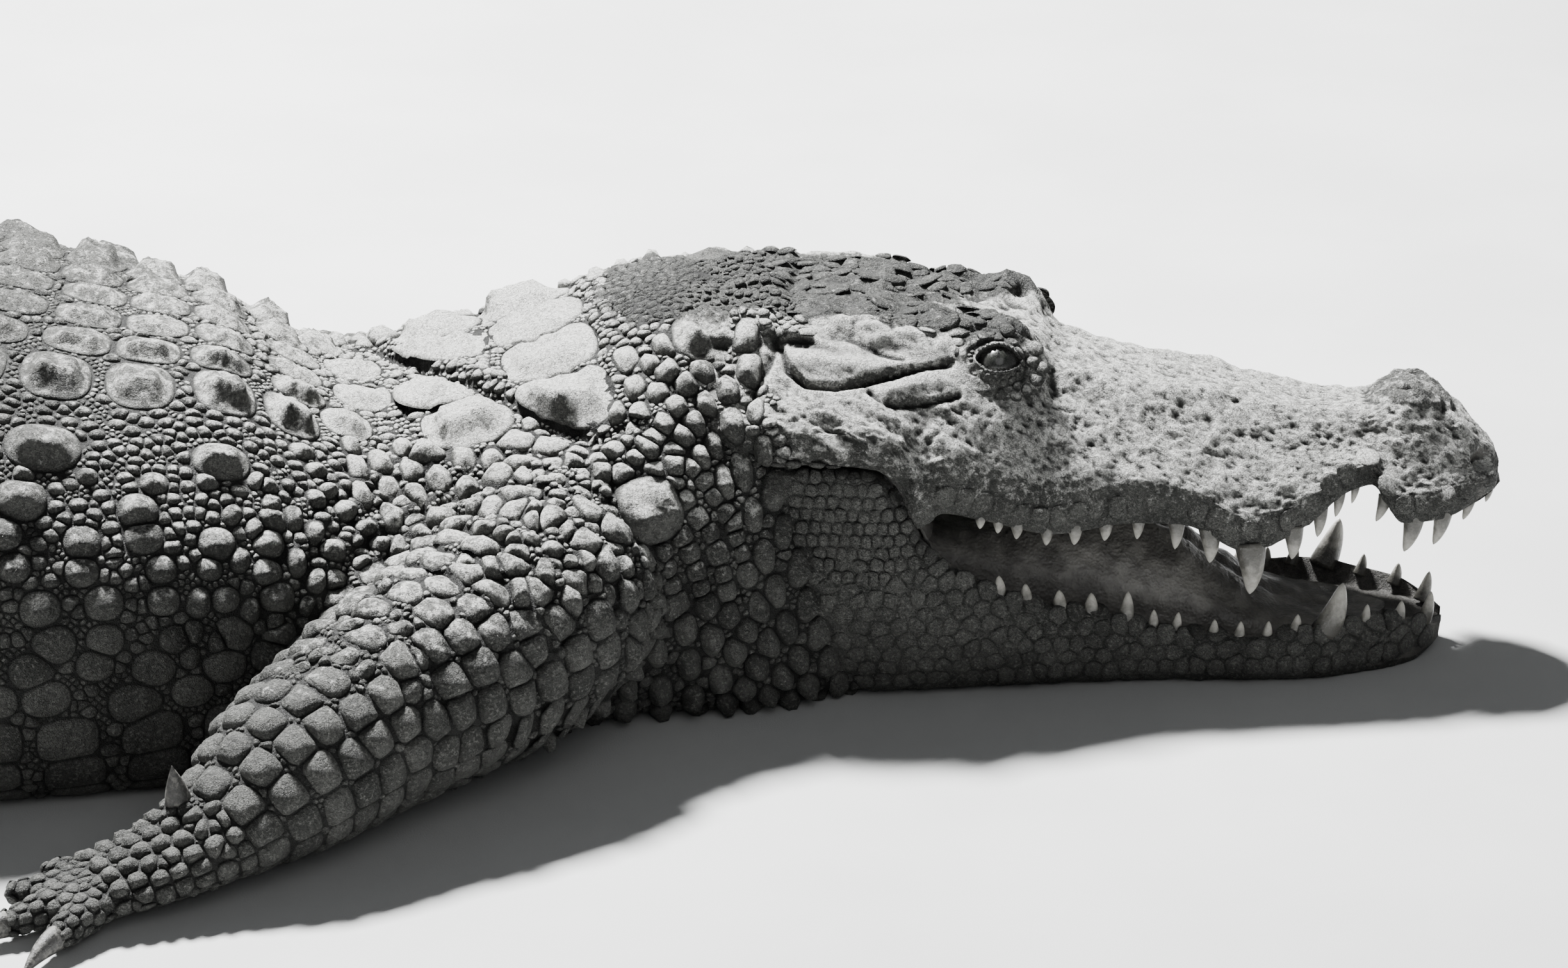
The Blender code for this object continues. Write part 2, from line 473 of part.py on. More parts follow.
def claw_rings(tip, way, radius, raised, count=6):
    """A cone of horn that curves down to the ground, or stands straight on the raised thumb."""
    side = way.cross(Vector((0, 0, 1))).normalized()
    up = side.cross(way)
    lift = max(tip.z, radius * 0.55)
    length = RAISED_CLAW_LENGTH if raised else CLAW_LENGTH
    rings = []
    for share, size in ((0.0, 1.0), (0.4, 0.80), (0.75, 0.42), (1.0, 0.08)):
        centre = np.array(tip + way * (GAP * 1.5 + length * share))
        if not raised:
            centre[2] = max(lift - CLAW_CURVE * length * share**2, 0.6 * CLAW_RADIUS * size)
        angle = 2 * math.pi * (np.arange(count) + 0.5) / count
        across, high = 0.62 * CLAW_RADIUS * size, 0.85 * CLAW_RADIUS * size
        ring = centre + np.outer(across * np.cos(angle), side) + np.outer(high * np.sin(angle), up)
        ring[:, 2] = np.maximum(ring[:, 2], 0.0)
        rings.append(ring)
    return rings


def centre_on_ground(parts):
    """Moves the finished model so that the middle of its footprint is the origin."""
    bpy.context.view_layer.update()
    graph = bpy.context.evaluated_depsgraph_get()
    corners = np.array([node.matrix_world @ Vector(c) for node in parts.objects
                        for c in node.evaluated_get(graph).bound_box])
    shift = -(corners.min(axis=0) + corners.max(axis=0)) / 2
    root = bpy.data.objects.new("crocodile_origin", None)
    bpy.context.scene.collection.objects.link(root)
    for node in bpy.data.objects:
        if node.type == "MESH":
            node.parent = root
    root.location = (shift[0], shift[1], 0.0)


def main():
    for node in list(bpy.data.objects):
        bpy.data.objects.remove(node)
    parts, tools = bpy.data.collections.new("crocodile"), bpy.data.collections.new("cutters")
    bpy.context.scene.collection.children.link(parts)
    bpy.context.scene.collection.children.link(tools)
    skin = material("skin", SKIN_COLOUR, 0.75)
    claw_skin = material("claw", CLAW_COLOUR, 0.45)
    make_head(parts, tools, skin, material("tongue", TONGUE_COLOUR, 0.6), material("eye", EYE_COLOUR, 0.15))
    body_cutter = make_body(parts, tools, skin)
    for side, kind, stations, digits in (("right", "arm", RIGHT_ARM, HAND_DIGITS),
                                         ("left", "arm", LEFT_ARM, HAND_DIGITS),
                                         ("right", "leg", RIGHT_LEG, FOOT_DIGITS),
                                         ("left", "leg", LEFT_LEG, FOOT_DIGITS)):
        make_limb(side, kind, stations, digits, body_cutter, parts, tools, skin, claw_skin)
    centre_on_ground(parts)


main()
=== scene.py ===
"""The looks of a life-size mugger crocodile that rests on its belly with its mouth a little open.

One skin stands for all the flesh. Scales, lids, teeth, claws, eyes and tongue are built over it. The animal
is drawn, like its solids, from the back of its skull, with s running back along the spine, and every mesh
is then moved by SHIFT to the frame's own place. Its right side faces -Y, to the camera.
"""

import math

import bpy
import numpy as np
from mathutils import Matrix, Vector, noise
from mathutils.bvhtree import BVHTree
from mathutils.kdtree import KDTree


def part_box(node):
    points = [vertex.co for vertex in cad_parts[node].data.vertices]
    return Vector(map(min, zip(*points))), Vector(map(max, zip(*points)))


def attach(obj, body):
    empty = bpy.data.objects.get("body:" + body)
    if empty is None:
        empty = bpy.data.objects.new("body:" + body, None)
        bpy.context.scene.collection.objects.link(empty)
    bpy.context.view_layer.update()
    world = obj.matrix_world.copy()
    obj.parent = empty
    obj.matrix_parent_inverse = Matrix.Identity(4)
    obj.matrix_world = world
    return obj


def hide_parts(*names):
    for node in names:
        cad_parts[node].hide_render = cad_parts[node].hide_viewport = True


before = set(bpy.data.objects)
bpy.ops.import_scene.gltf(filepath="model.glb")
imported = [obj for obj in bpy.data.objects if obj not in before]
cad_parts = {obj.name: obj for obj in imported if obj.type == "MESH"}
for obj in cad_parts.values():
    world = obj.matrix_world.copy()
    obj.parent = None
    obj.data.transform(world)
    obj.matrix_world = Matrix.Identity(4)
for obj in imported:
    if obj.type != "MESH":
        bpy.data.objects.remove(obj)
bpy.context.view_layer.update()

COAT = 0.0035  # how far the skin lies inside the solids
UP = np.array([0.0, 0.0, 1.0])

# Driving sizes, as in the solids --------------------------------------------------------------------
HEAD_YAW = math.radians(-5.0)  # the snout turns a little to the animal's right
HEAD_ROLL = math.radians(-3.0)  # and the head leans to its left, about a line along the right upper lip
ROLL_AXIS_Y, ROLL_AXIS_Z = -0.10, 0.12
HEAD_LENGTH = 0.492  # back of the skull to the tip of the snout
REAR_X, REAR_Z, REAR_LEAN = -0.024, 0.2, -0.3  # the slanting plane where the neck's collar meets the head
EYE_CENTRE, EYE_RADIUS = (0.145, 0.0735, 0.2240), 0.0175

# Head, as seen from the side and from above: (distance in front of the skull's back, size)
TOP = [(-0.05, 0.257), (0.03, 0.257), (0.10, 0.246), (0.14, 0.240), (0.165, 0.233), (0.19, 0.222),
       (0.24, 0.211), (0.31, 0.198), (0.36, 0.188), (0.395, 0.188), (0.424, 0.199), (0.450, 0.191),
       (0.475, 0.168), (0.486, 0.155), (0.492, 0.144)]
TABLE_HALF = [(-0.05, 0.062), (0.05, 0.065), (0.10, 0.061), (0.145, 0.058), (0.17, 0.053), (0.19, 0.046),
              (0.24, 0.039), (0.31, 0.034), (0.38, 0.028), (0.424, 0.031), (0.455, 0.027), (0.480, 0.018),
              (0.492, 0.004)]
TABLE_Z = [(-0.05, 0.260), (0.05, 0.256), (0.10, 0.251), (0.145, 0.250), (0.165, 0.242), (0.187, 0.216),
           (0.24, 0.206), (0.31, 0.196), (0.36, 0.186), (0.395, 0.185), (0.424, 0.195), (0.455, 0.183),
           (0.480, 0.161), (0.492, 0.143)]
SIDE_HALF = [(-0.05, 0.112), (0.03, 0.117), (0.09, 0.112), (0.145, 0.099), (0.19, 0.084), (0.24, 0.071),
             (0.31, 0.067), (0.36, 0.055), (0.398, 0.046), (0.424, 0.051), (0.455, 0.045), (0.480, 0.031),
             (0.492, 0.008)]
SIDE_Z = [(-0.05, 0.226), (0.03, 0.225), (0.09, 0.219), (0.145, 0.212), (0.19, 0.192), (0.24, 0.183),
          (0.31, 0.167), (0.40, 0.164), (0.424, 0.163), (0.455, 0.158), (0.480, 0.150), (0.492, 0.140)]
WIDTH = [(-0.05, 0.146), (0.02, 0.151), (0.07, 0.149), (0.112, 0.141), (0.15, 0.129), (0.20, 0.113),
         (0.25, 0.101), (0.28, 0.097), (0.312, 0.099), (0.34, 0.092), (0.375, 0.073), (0.398, 0.062),
         (0.424, 0.067), (0.45, 0.062), (0.475, 0.045), (0.486, 0.027), (0.492, 0.010)]
LIP = [(-0.05, 0.169), (0.02, 0.172), (0.066, 0.168), (0.085, 0.148), (0.096, 0.126), (0.112, 0.136),
       (0.14, 0.129), (0.19, 0.116), (0.24, 0.121), (0.275, 0.119), (0.318, 0.102), (0.345, 0.110),
       (0.366, 0.122), (0.384, 0.136), (0.400, 0.140), (0.424, 0.116), (0.45, 0.118), (0.475, 0.126),
       (0.492, 0.130)]
LIP_RISE = [(-0.05, 0.024), (0.05, 0.024), (0.10, 0.036), (0.20, 0.030), (0.31, 0.026), (0.40, 0.016),
            (0.45, 0.018), (0.48, 0.010), (0.492, 0.003)]
PALATE = [(-0.05, 0.1692), (0.066, 0.1692), (0.10, 0.150), (0.14, 0.142), (0.30, 0.136), (0.40, 0.152),
          (0.45, 0.144), (0.492, 0.1305)]
JAW_HALF = [(-0.05, 0.144), (0.05, 0.146), (0.094, 0.139), (0.142, 0.124), (0.185, 0.112), (0.228, 0.100),
            (0.264, 0.092), (0.326, 0.086), (0.372, 0.077), (0.40, 0.061), (0.425, 0.047), (0.445, 0.027),
            (0.456, 0.008)]
JAW_TOP = [(-0.05, 0.1672), (0.02, 0.1675), (0.06, 0.1645), (0.085, 0.140), (0.096, 0.118), (0.142, 0.082),
           (0.185, 0.066), (0.228, 0.056), (0.264, 0.044), (0.326, 0.038), (0.372, 0.043), (0.425, 0.041),
           (0.456, 0.031)]
FLOOR_DEPTH = [(-0.05, 0.0), (0.07, 0.0), (0.11, 0.020), (0.16, 0.028), (0.30, 0.016), (0.40, 0.014),
               (0.456, 0.006)]
CHIN = [(-0.05, 0.0), (0.40, 0.0), (0.44, 0.004), (0.456, 0.014)]
TONGUE = [(0.100, 0.104), (0.13, 0.110), (0.20, 0.108), (0.25, 0.096), (0.30, 0.070), (0.36, 0.048)]
# Teeth of one side: (distance in front of the skull's back, length, width, how far the tip leans forward)
UPPER_TEETH = [(0.137, 0.007, 0.009, 0.0), (0.149, 0.008, 0.009, 0.0), (0.1615, 0.009, 0.010, 0.0),
               (0.1815, 0.010, 0.010, 0.0), (0.2005, 0.011, 0.011, 0.0), (0.221, 0.012, 0.011, 0.0),
               (0.243, 0.013, 0.010, 0.0), (0.269, 0.018, 0.012, 0.0), (0.292, 0.020, 0.015, 0.001),
               (0.320, 0.031, 0.021, 0.001), (0.349, 0.018, 0.014, 0.0), (0.367, 0.016, 0.011, -0.001),
               (0.380, 0.015, 0.009, -0.002), (0.391, 0.013, 0.007, -0.002), (0.412, 0.014, 0.010, -0.006),
               (0.432, 0.022, 0.015, -0.006), (0.452, 0.020, 0.013, -0.006), (0.470, 0.013, 0.009, -0.004),
               (0.484, 0.010, 0.007, -0.002)]
LOWER_TEETH = [(0.150, 0.010, 0.011, 0.0), (0.168, 0.010, 0.011, 0.0), (0.191, 0.011, 0.012, 0.0),
               (0.212, 0.012, 0.012, 0.001), (0.236, 0.016, 0.012, 0.002), (0.255, 0.011, 0.009, 0.001),
               (0.270, 0.012, 0.009, 0.003), (0.296, 0.010, 0.009, 0.002), (0.314, 0.010, 0.009, 0.002),
               (0.333, 0.010, 0.009, 0.002), (0.352, 0.012, 0.010, 0.003), (0.374, 0.030, 0.020, 0.011),
               (0.400, 0.012, 0.009, 0.003), (0.424, 0.012, 0.010, 0.003), (0.443, 0.016, 0.011, 0.005)]
TOOTH_ROOT = 0.010  # how deep a tooth sits in its jaw
TOOTH_INSET = 0.009  # how far inside the lip the tooth row runs

# Body, along the spine from the head: (s, half width, height of the back, height of the widest point)
BODY = [(0.0, 0.160, 0.250, 0.108), (0.05, 0.188, 0.258, 0.112), (0.10, 0.200, 0.243, 0.110),
        (0.145, 0.206, 0.222, 0.106), (0.20, 0.210, 0.210, 0.100), (0.275, 0.220, 0.194, 0.094),
        (0.32, 0.232, 0.210, 0.096), (0.38, 0.250, 0.246, 0.100), (0.45, 0.268, 0.260, 0.104),
        (0.54, 0.287, 0.279, 0.108), (0.70, 0.303, 0.296, 0.112), (0.90, 0.298, 0.295, 0.112),
        (1.05, 0.262, 0.285, 0.110), (1.18, 0.205, 0.267, 0.108), (1.30, 0.160, 0.248, 0.105),
        (1.55, 0.124, 0.220, 0.095), (1.90, 0.092, 0.186, 0.080), (2.30, 0.060, 0.145, 0.060),
        (2.70, 0.032, 0.094, 0.036), (2.95, 0.013, 0.045, 0.016), (3.02, 0.006, 0.024, 0.009)]
BODY_LENGTH = 3.02
BELLY_SINK = 1.25  # the belly's curve, this much deeper than the ground allows, is pressed flat on it
BACK_ROUND, BELLY_ROUND, TAIL_ROUND = 2.15, 4.0, 2.3  # superellipse powers: 2 is an ellipse, more is boxier
HEADING = [(-0.1, -5.0), (0.0, -5.0), (0.10, 9.0), (0.30, 12.0), (0.46, 2.0), (0.62, -6.0), (1.00, -4.0),
           (1.30, -8.0), (1.70, -34.0), (2.20, -62.0), (2.60, -58.0), (3.02, -30.0)]
NECK_END, TAIL_START = 0.31, 1.32
WHORL_FIRST, WHORL_LAST = 0.066, 0.034  # spacing of the tail's rings of scales at its root and its tip
CREST = [(1.20, 0.004), (1.40, 0.014), (1.80, 0.028), (2.20, 0.036), (2.45, 0.040), (2.75, 0.030),
         (3.02, 0.006)]
BEFORE_THE_TAIL = [(1.20, 0.060), (1.26, 0.060)]  # (start, length) of the crests' first scales
CREST_MERGE = 2.22  # two crests run back to here, and one runs on from here
CREST_SPREAD = 0.42  # how far out the two crests stand, as a share of the tail's half width

# Limbs: (x, y, z, half width, half height) at the shoulder or hip, then on to the knuckles
RIGHT_ARM = [(-0.150, -0.110, 0.120, 0.068, 0.072), (-0.172, -0.205, 0.102, 0.084, 0.082),
             (-0.222, -0.268, 0.086, 0.080, 0.076), (-0.278, -0.328, 0.072, 0.069, 0.066),
             (-0.326, -0.384, 0.057, 0.060, 0.054), (-0.366, -0.424, 0.037, 0.044, 0.032),
             (-0.402, -0.447, 0.026, 0.040, 0.023), (-0.434, -0.466, 0.020, 0.037, 0.018)]
LEFT_ARM = [(-0.150, 0.110, 0.105, 0.060, 0.062), (-0.195, 0.176, 0.078, 0.072, 0.062),
            (-0.252, 0.226, 0.066, 0.070, 0.057), (-0.318, 0.272, 0.057, 0.064, 0.052),
            (-0.376, 0.314, 0.050, 0.058, 0.047), (-0.424, 0.350, 0.039, 0.044, 0.036),
            (-0.462, 0.374, 0.028, 0.040, 0.026), (-0.494, 0.392, 0.020, 0.037, 0.018)]
RIGHT_LEG = [(-1.150, -0.095, 0.135, 0.088, 0.095), (-1.095, -0.200, 0.122, 0.096, 0.100),
             (-1.015, -0.298, 0.100, 0.086, 0.088), (-0.985, -0.378, 0.078, 0.070, 0.070),
             (-1.040, -0.438, 0.060, 0.060, 0.056), (-1.110, -0.472, 0.045, 0.048, 0.043),
             (-1.140, -0.512, 0.032, 0.045, 0.030), (-1.120, -0.566, 0.022, 0.050, 0.020)]
LEFT_LEG = [(-1.150, 0.100, 0.135, 0.088, 0.095), (-1.150, 0.210, 0.122, 0.096, 0.098),
            (-1.105, 0.312, 0.098, 0.086, 0.084), (-1.110, 0.398, 0.076, 0.070, 0.068),
            (-1.180, 0.448, 0.058, 0.060, 0.054), (-1.256, 0.468, 0.044, 0.048, 0.041),
            (-1.300, 0.500, 0.031, 0.045, 0.029), (-1.304, 0.556, 0.022, 0.050, 0.020)]
WRIST, LIMB_END = 5, 7  # which of a limb's stations are its wrist or ankle, and its end
# Digits of a right foot: (turn from the foot's own direction in degrees, length, radius, has a claw)
HAND_DIGITS = [(62, 0.050, 0.0125, True), (30, 0.068, 0.0130, True), (2, 0.076, 0.0130, True),
               (-26, 0.066, 0.0115, False), (-56, 0.052, 0.0105, False)]
FOOT_DIGITS = [(42, 0.085, 0.0150, True), (16, 0.108, 0.0160, True), (-10, 0.112, 0.0155, True),
               (-38, 0.092, 0.0130, False)]
RAISED_THUMB = (-0.385, -0.428, 0.045)  # the right hand's first digit is folded up on the wrist
RAISED_LENGTH, RAISED_CLAW_LENGTH = 0.020, 0.022
CLAW_LENGTH, CLAW_RADIUS, CLAW_CURVE = 0.033, 0.0095, 0.35


# Curves and rings ----------------------------------------------------------------------------------

def through(rows, at):
    """Reads the smooth curve through rows of (place, value, ...) at one or more places."""
    rows = np.asarray(rows, float)
    place, value = rows[:, 0], rows[:, 1:]
    step = np.diff(place)[:, None]
    slope = np.diff(value, axis=0) / step
    same_way = slope[:-1] * slope[1:] > 0
    total = np.where(same_way, slope[:-1] + slope[1:], 1.0)
    inner = np.where(same_way, 2 * slope[:-1] * slope[1:] / total, 0.0)
    tangent = np.vstack([slope[:1], inner, slope[-1:]])
    at = np.asarray(at, float)
    i = np.clip(np.searchsorted(place, at, side="right") - 1, 0, len(place) - 2)
    t = np.clip((at - place[i]) / (place[i + 1] - place[i]), 0.0, 1.0)[..., None]
    found = ((2 * t**3 - 3 * t**2 + 1) * value[i] + (t**3 - 2 * t**2 + t) * step[i] * tangent[i]
             + (3 * t**2 - 2 * t**3) * value[i + 1] + (t**3 - t**2) * step[i] * tangent[i + 1])
    return found[..., 0] if found.shape[-1] == 1 else found


def fade(value, full, none):
    """1 at full, 0 at none, and smooth between them."""
    t = np.clip((value - none) / (full - none), 0.0, 1.0)
    return t * t * (3 - 2 * t)


def evenly(points, count):
    """count points, evenly spaced along a polyline."""
    along = np.concatenate([[0.0], np.cumsum(np.linalg.norm(np.diff(points, axis=0), axis=1))])
    at = np.linspace(0.0, along[-1], count)
    return np.stack([np.interp(at, along, points[:, k]) for k in range(points.shape[1])], axis=1)


def unit(vectors):
    """Vectors made one long."""
    return vectors / np.maximum(np.linalg.norm(vectors, axis=-1, keepdims=True), 1e-12)


def dot(a, b):
    """The dot products of two arrays of vectors."""
    return np.sum(a * b, axis=-1)


REAR_SETTLED = 0.10  # where along the head its rear plane's lean has died away


def to_body_frame(points):
    """Puts points of the straight head where they are on the animal: leaned over, turned, above ground."""
    turned = np.array(points, float)
    y, z = turned[:, 1] - ROLL_AXIS_Y, turned[:, 2] - ROLL_AXIS_Z
    turned[:, 1] = ROLL_AXIS_Y + y * math.cos(HEAD_ROLL) - z * math.sin(HEAD_ROLL)
    turned[:, 2] = np.maximum(ROLL_AXIS_Z + y * math.sin(HEAD_ROLL) + z * math.cos(HEAD_ROLL), 0.0)
    turned[:, 0] += REAR_LEAN * (turned[:, 2] - REAR_Z) * fade(turned[:, 0], REAR_X, REAR_SETTLED)
    c, s = math.cos(HEAD_YAW), math.sin(HEAD_YAW)
    return turned @ np.array([[c, s, 0.0], [-s, c, 0.0], [0.0, 0.0, 1.0]])


def from_body_frame(points):
    """The straight head's coordinates of points on the animal."""
    c, s = math.cos(HEAD_YAW), math.sin(HEAD_YAW)
    straight = np.asarray(points, float) @ np.array([[c, -s, 0.0], [s, c, 0.0], [0.0, 0.0, 1.0]])
    lean = REAR_LEAN * (straight[:, 2] - REAR_Z)
    leaned = straight[:, 0].copy()
    for _ in range(4):
        straight[:, 0] = leaned - lean * fade(straight[:, 0], REAR_X, REAR_SETTLED)
    y, z = straight[:, 1] - ROLL_AXIS_Y, straight[:, 2] - ROLL_AXIS_Z
    straight[:, 1] = ROLL_AXIS_Y + y * math.cos(HEAD_ROLL) + z * math.sin(HEAD_ROLL)
    straight[:, 2] = ROLL_AXIS_Z - y * math.sin(HEAD_ROLL) + z * math.cos(HEAD_ROLL)
    return straight


def mirrored(points):
    """Points of the straight head, all brought over to its left side."""
    return np.column_stack([points[:, 0], np.abs(points[:, 1]), points[:, 2]])


eye_box = np.array([list(corner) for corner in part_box("eye_right")])
SHIFT = eye_box.mean(axis=0) - to_body_frame([[EYE_CENTRE[0], -EYE_CENTRE[1], EYE_CENTRE[2]]])[0]


# The trunk's surface: s runs back from the skull, share goes from the spine's line (0) to the belly's (1),
# and side is 1 on the left and -1 on the right -------------------------------------------------------

def body_outline(s):
    """Half of the body's section: a domed back and a full, flat-lying belly."""
    half, top, widest = through(BODY, s)
    belly = TAIL_ROUND + (BELLY_ROUND - TAIL_ROUND) * fade(s, 0.9, 1.6)
    angle = np.linspace(0.0, math.pi, 240)
    power = np.where(angle < math.pi / 2, 2.0 / BACK_ROUND, 2.0 / belly)
    reach = np.where(angle < math.pi / 2, top - widest, -BELLY_SINK * widest)
    y = half * np.abs(np.sin(angle)) ** power
    z = widest + reach * np.abs(np.cos(angle)) ** power
    return np.column_stack([y, np.maximum(z, 0.0)])


def inset(outline, depth):
    """An outline moved inwards by depth."""
    tangent = unit(np.gradient(outline, axis=0))
    moved = outline + depth * np.column_stack([tangent[:, 1], -tangent[:, 0]])
    moved[:, 0] = np.maximum(moved[:, 0], 0.0)
    moved[0, 0] = moved[-1, 0] = 0.0
    return moved


SECTION_STEP = 0.01
SECTION_POINTS = 161
SECTIONS = np.array([inset(evenly(body_outline(s), SECTION_POINTS), COAT)
                     for s in np.arange(0.0, BODY_LENGTH + SECTION_STEP, SECTION_STEP)])
GIRTHS = np.linalg.norm(np.diff(SECTIONS, axis=1), axis=2).sum(axis=1)
PATH_S = np.arange(0.0, BODY_LENGTH + 0.2, SECTION_STEP)
PATH_HEADING = np.radians(through(HEADING, PATH_S))
PATH_STEPS = SECTION_STEP * np.column_stack([-np.cos(PATH_HEADING), -np.sin(PATH_HEADING)])
PATH = np.vstack([[0.0, 0.0], np.cumsum(PATH_STEPS, axis=0)])[:-1]
PATH = PATH + [REAR_X * math.cos(HEAD_YAW), REAR_X * math.sin(HEAD_YAW)]


def spine(s):
    """Points on the ground below the spine, and the unit vectors back along it and to its left."""
    heading = np.interp(s, PATH_S, PATH_HEADING)
    nothing = np.zeros_like(heading)
    back = np.stack([-np.cos(heading), -np.sin(heading), nothing], axis=-1)
    left = np.stack([back[..., 1], -back[..., 0], nothing], axis=-1)
    here = np.stack([np.interp(s, PATH_S, PATH[:, 0]), np.interp(s, PATH_S, PATH[:, 1]), nothing], axis=-1)
    return here + np.minimum(s, 0.0)[..., None] * back, back, left


def girth(s):
    """The length of half a section, from the line of the spine to the belly's."""
    return np.interp(s, np.arange(len(GIRTHS)) * SECTION_STEP, GIRTHS)


def body_at(s, share, side):
    """Points of the body's surface."""
    s, share, side = np.broadcast_arrays(np.asarray(s, float), share, side)
    row = np.clip(s / SECTION_STEP, 0.0, len(SECTIONS) - 1.001)
    column = np.clip(share * (SECTION_POINTS - 1), 0.0, SECTION_POINTS - 1.001)
    i, j = row.astype(int), column.astype(int)
    u, v = (row - i)[..., None], (column - j)[..., None]
    section = ((1 - u) * ((1 - v) * SECTIONS[i, j] + v * SECTIONS[i, j + 1])
               + u * ((1 - v) * SECTIONS[i + 1, j] + v * SECTIONS[i + 1, j + 1]))
    y, z = side * section[..., 0], section[..., 1]
    here, back, left = spine(s)
    lean = -REAR_LEAN * (z - REAR_Z) * fade(s, 0.0, 0.20)
    return here + lean[..., None] * back + y[..., None] * left + z[..., None] * UP


# A limb's surface: u is counted in stations from the shoulder or hip, and angle goes round it --------

LIMB_STEP = 0.6  # how far on and back the limb's line is read for its direction, in stations


def limb_frame(stations, u):
    """The limb's middle and half sizes at u, and the unit vectors along it, to its side and up."""
    rows = np.column_stack([np.arange(len(stations)), stations])
    here = through(rows, u)
    ahead = through(rows, np.minimum(u + LIMB_STEP, len(stations) - 1.0))
    behind = through(rows, np.maximum(u - LIMB_STEP, 0.0))
    along = unit(ahead[..., :3] - behind[..., :3])
    side = unit(np.cross(along, UP))
    return here, along, side, np.cross(side, along)


def limb_at(stations, u, angle):
    """Points of a limb's surface."""
    u, angle = np.broadcast_arrays(np.asarray(u, float), angle)
    here, _, side, up = limb_frame(stations, u)
    across = (here[..., 3] - COAT) * np.cos(angle)
    high = (here[..., 4] - COAT) * np.sin(angle)
    point = here[..., :3] + across[..., None] * side + high[..., None] * up
    point[..., 2] = np.maximum(point[..., 2], COAT)
    return point


KNUCKLE_BACK, KNUCKLE_OUT, DIGIT_DROOP = 0.020, 0.012, -0.10  # where digits start, and how they sink ahead


def digit_line(stations, turn, length, raised):
    """Where a digit starts in the foot, the way it points, and its tip. The turn is seen from above."""
    if raised:
        start, way = np.array(RAISED_THUMB), unit(np.array([-0.12, -0.05, 1.0]))
        return start, way, start + way * RAISED_LENGTH
    end, before = np.array(stations[-1][:3]), np.array(stations[-2][:3])
    ahead = unit((end - before)[:2])
    angle = math.radians(turn)
    way = np.array([ahead[0] * math.cos(angle) - ahead[1] * math.sin(angle),
                    ahead[0] * math.sin(angle) + ahead[1] * math.cos(angle), 0.0])
    start = end - np.array([*ahead, 0.0]) * KNUCKLE_BACK + way * KNUCKLE_OUT
    way = unit(way + np.array([0.0, 0.0, DIGIT_DROOP]))
    return start, way, start + way * length


DIGIT_SWELL = [(0.0, 1.05), (0.30, 1.00), (0.45, 1.08), (0.70, 0.92), (0.92, 0.85), (1.0, 0.66)]
DIGIT_COAT = 0.0012  # the feet's scales are thin


def digit_at(start, way, length, radius, share, angle):
    """A jointed toe, thick at its knuckles and blunt at its tip."""
    share, angle = np.broadcast_arrays(np.asarray(share, float), angle)
    size = radius * through(DIGIT_SWELL, share)
    side = unit(np.cross(way, UP))
    up = np.cross(side, way)
    centre = start + way * (length * share)[..., None]
    centre[..., 2] = np.maximum(centre[..., 2], 0.8 * size)
    thin = (size - DIGIT_COAT)[..., None]
    point = centre + thin * (np.cos(angle)[..., None] * side + np.sin(angle)[..., None] * up)
    point[..., 2] = np.maximum(point[..., 2], DIGIT_COAT)
    return point


def limbs():
    """(name, side of the body, stations, digits) of each limb."""
    return [("arm_right", -1, RIGHT_ARM, HAND_DIGITS), ("arm_left", 1, LEFT_ARM, HAND_DIGITS),
            ("leg_right", -1, RIGHT_LEG, FOOT_DIGITS), ("leg_left", 1, LEFT_LEG, FOOT_DIGITS)]


def digits_of(side, stations, digits):
    """(start, way, length, radius, clawed, raised, tip) of each digit of a limb."""
    found = []
    for number, (turn, length, radius, clawed) in enumerate(digits):
        raised = number == 0 and stations is RIGHT_ARM
        start, way, tip = digit_line(stations, -side * turn, length, raised)
        found.append((start, way, float(np.linalg.norm(tip - start)), radius, clawed, raised, tip))
    return found


# Meshes ---------------------------------------------------------------------------------------------

def fill(points, faces, name):
    """A mesh from an array of points and a list of arrays of faces, each with one count of corners."""
    mesh = bpy.data.meshes.new(name)
    corners = np.concatenate([np.asarray(f).ravel() for f in faces])
    sizes = np.concatenate([np.full(len(f), np.asarray(f).shape[1]) for f in faces])
    mesh.vertices.add(len(points))
    mesh.vertices.foreach_set("co", np.asarray(points, np.float32).ravel())
    mesh.loops.add(len(corners))
    mesh.loops.foreach_set("vertex_index", corners.astype(np.int32))
    mesh.polygons.add(len(sizes))
    mesh.polygons.foreach_set("loop_start", np.concatenate([[0], np.cumsum(sizes)[:-1]]).astype(np.int32))
    mesh.update(calc_edges=True)
    return mesh


def place_piece(name, points, faces, finish, replaced=(), uv=None, values=None):
    """Adds a piece of the animal to the scene, in the frame's own place."""
    mesh = fill(np.asarray(points) + SHIFT, faces, name)
    for key, value in (values or {}).items():
        mesh.attributes.new(key, "FLOAT", "POINT").data.foreach_set("value", np.asarray(value, np.float32))
    if uv is not None:
        corners = np.concatenate([np.asarray(f).ravel() for f in faces])
        mesh.uv_layers.new(name="OFBake").data.foreach_set("uv", uv[corners].astype(np.float32).ravel())
    mesh.materials.append(finish)
    mesh.shade_smooth()
    piece = bpy.data.objects.new(name, mesh)
    bpy.context.scene.collection.objects.link(piece)
    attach(piece, "root")
    if replaced:
        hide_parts(*replaced)
    return piece


def closed_tube(rings):
    """Points and faces of a tube with both ends capped."""
    rows, columns = rings.shape[:2]
    caps = np.array([np.arange(columns)[::-1], (rows - 1) * columns + np.arange(columns)])
    return rings.reshape(-1, 3), [grid_faces(rows, columns, closed=True), caps]


def grid_faces(rows, columns, closed):
    """The quads of a grid of points, row by row. closed joins the last column to the first."""
    i, j = np.meshgrid(np.arange(rows - 1), np.arange(columns if closed else columns - 1), indexing="ij")
    k = (j + 1) % columns
    return np.stack([i * columns + j, i * columns + k, (i + 1) * columns + k, (i + 1) * columns + j],
                    axis=-1).reshape(-1, 4)


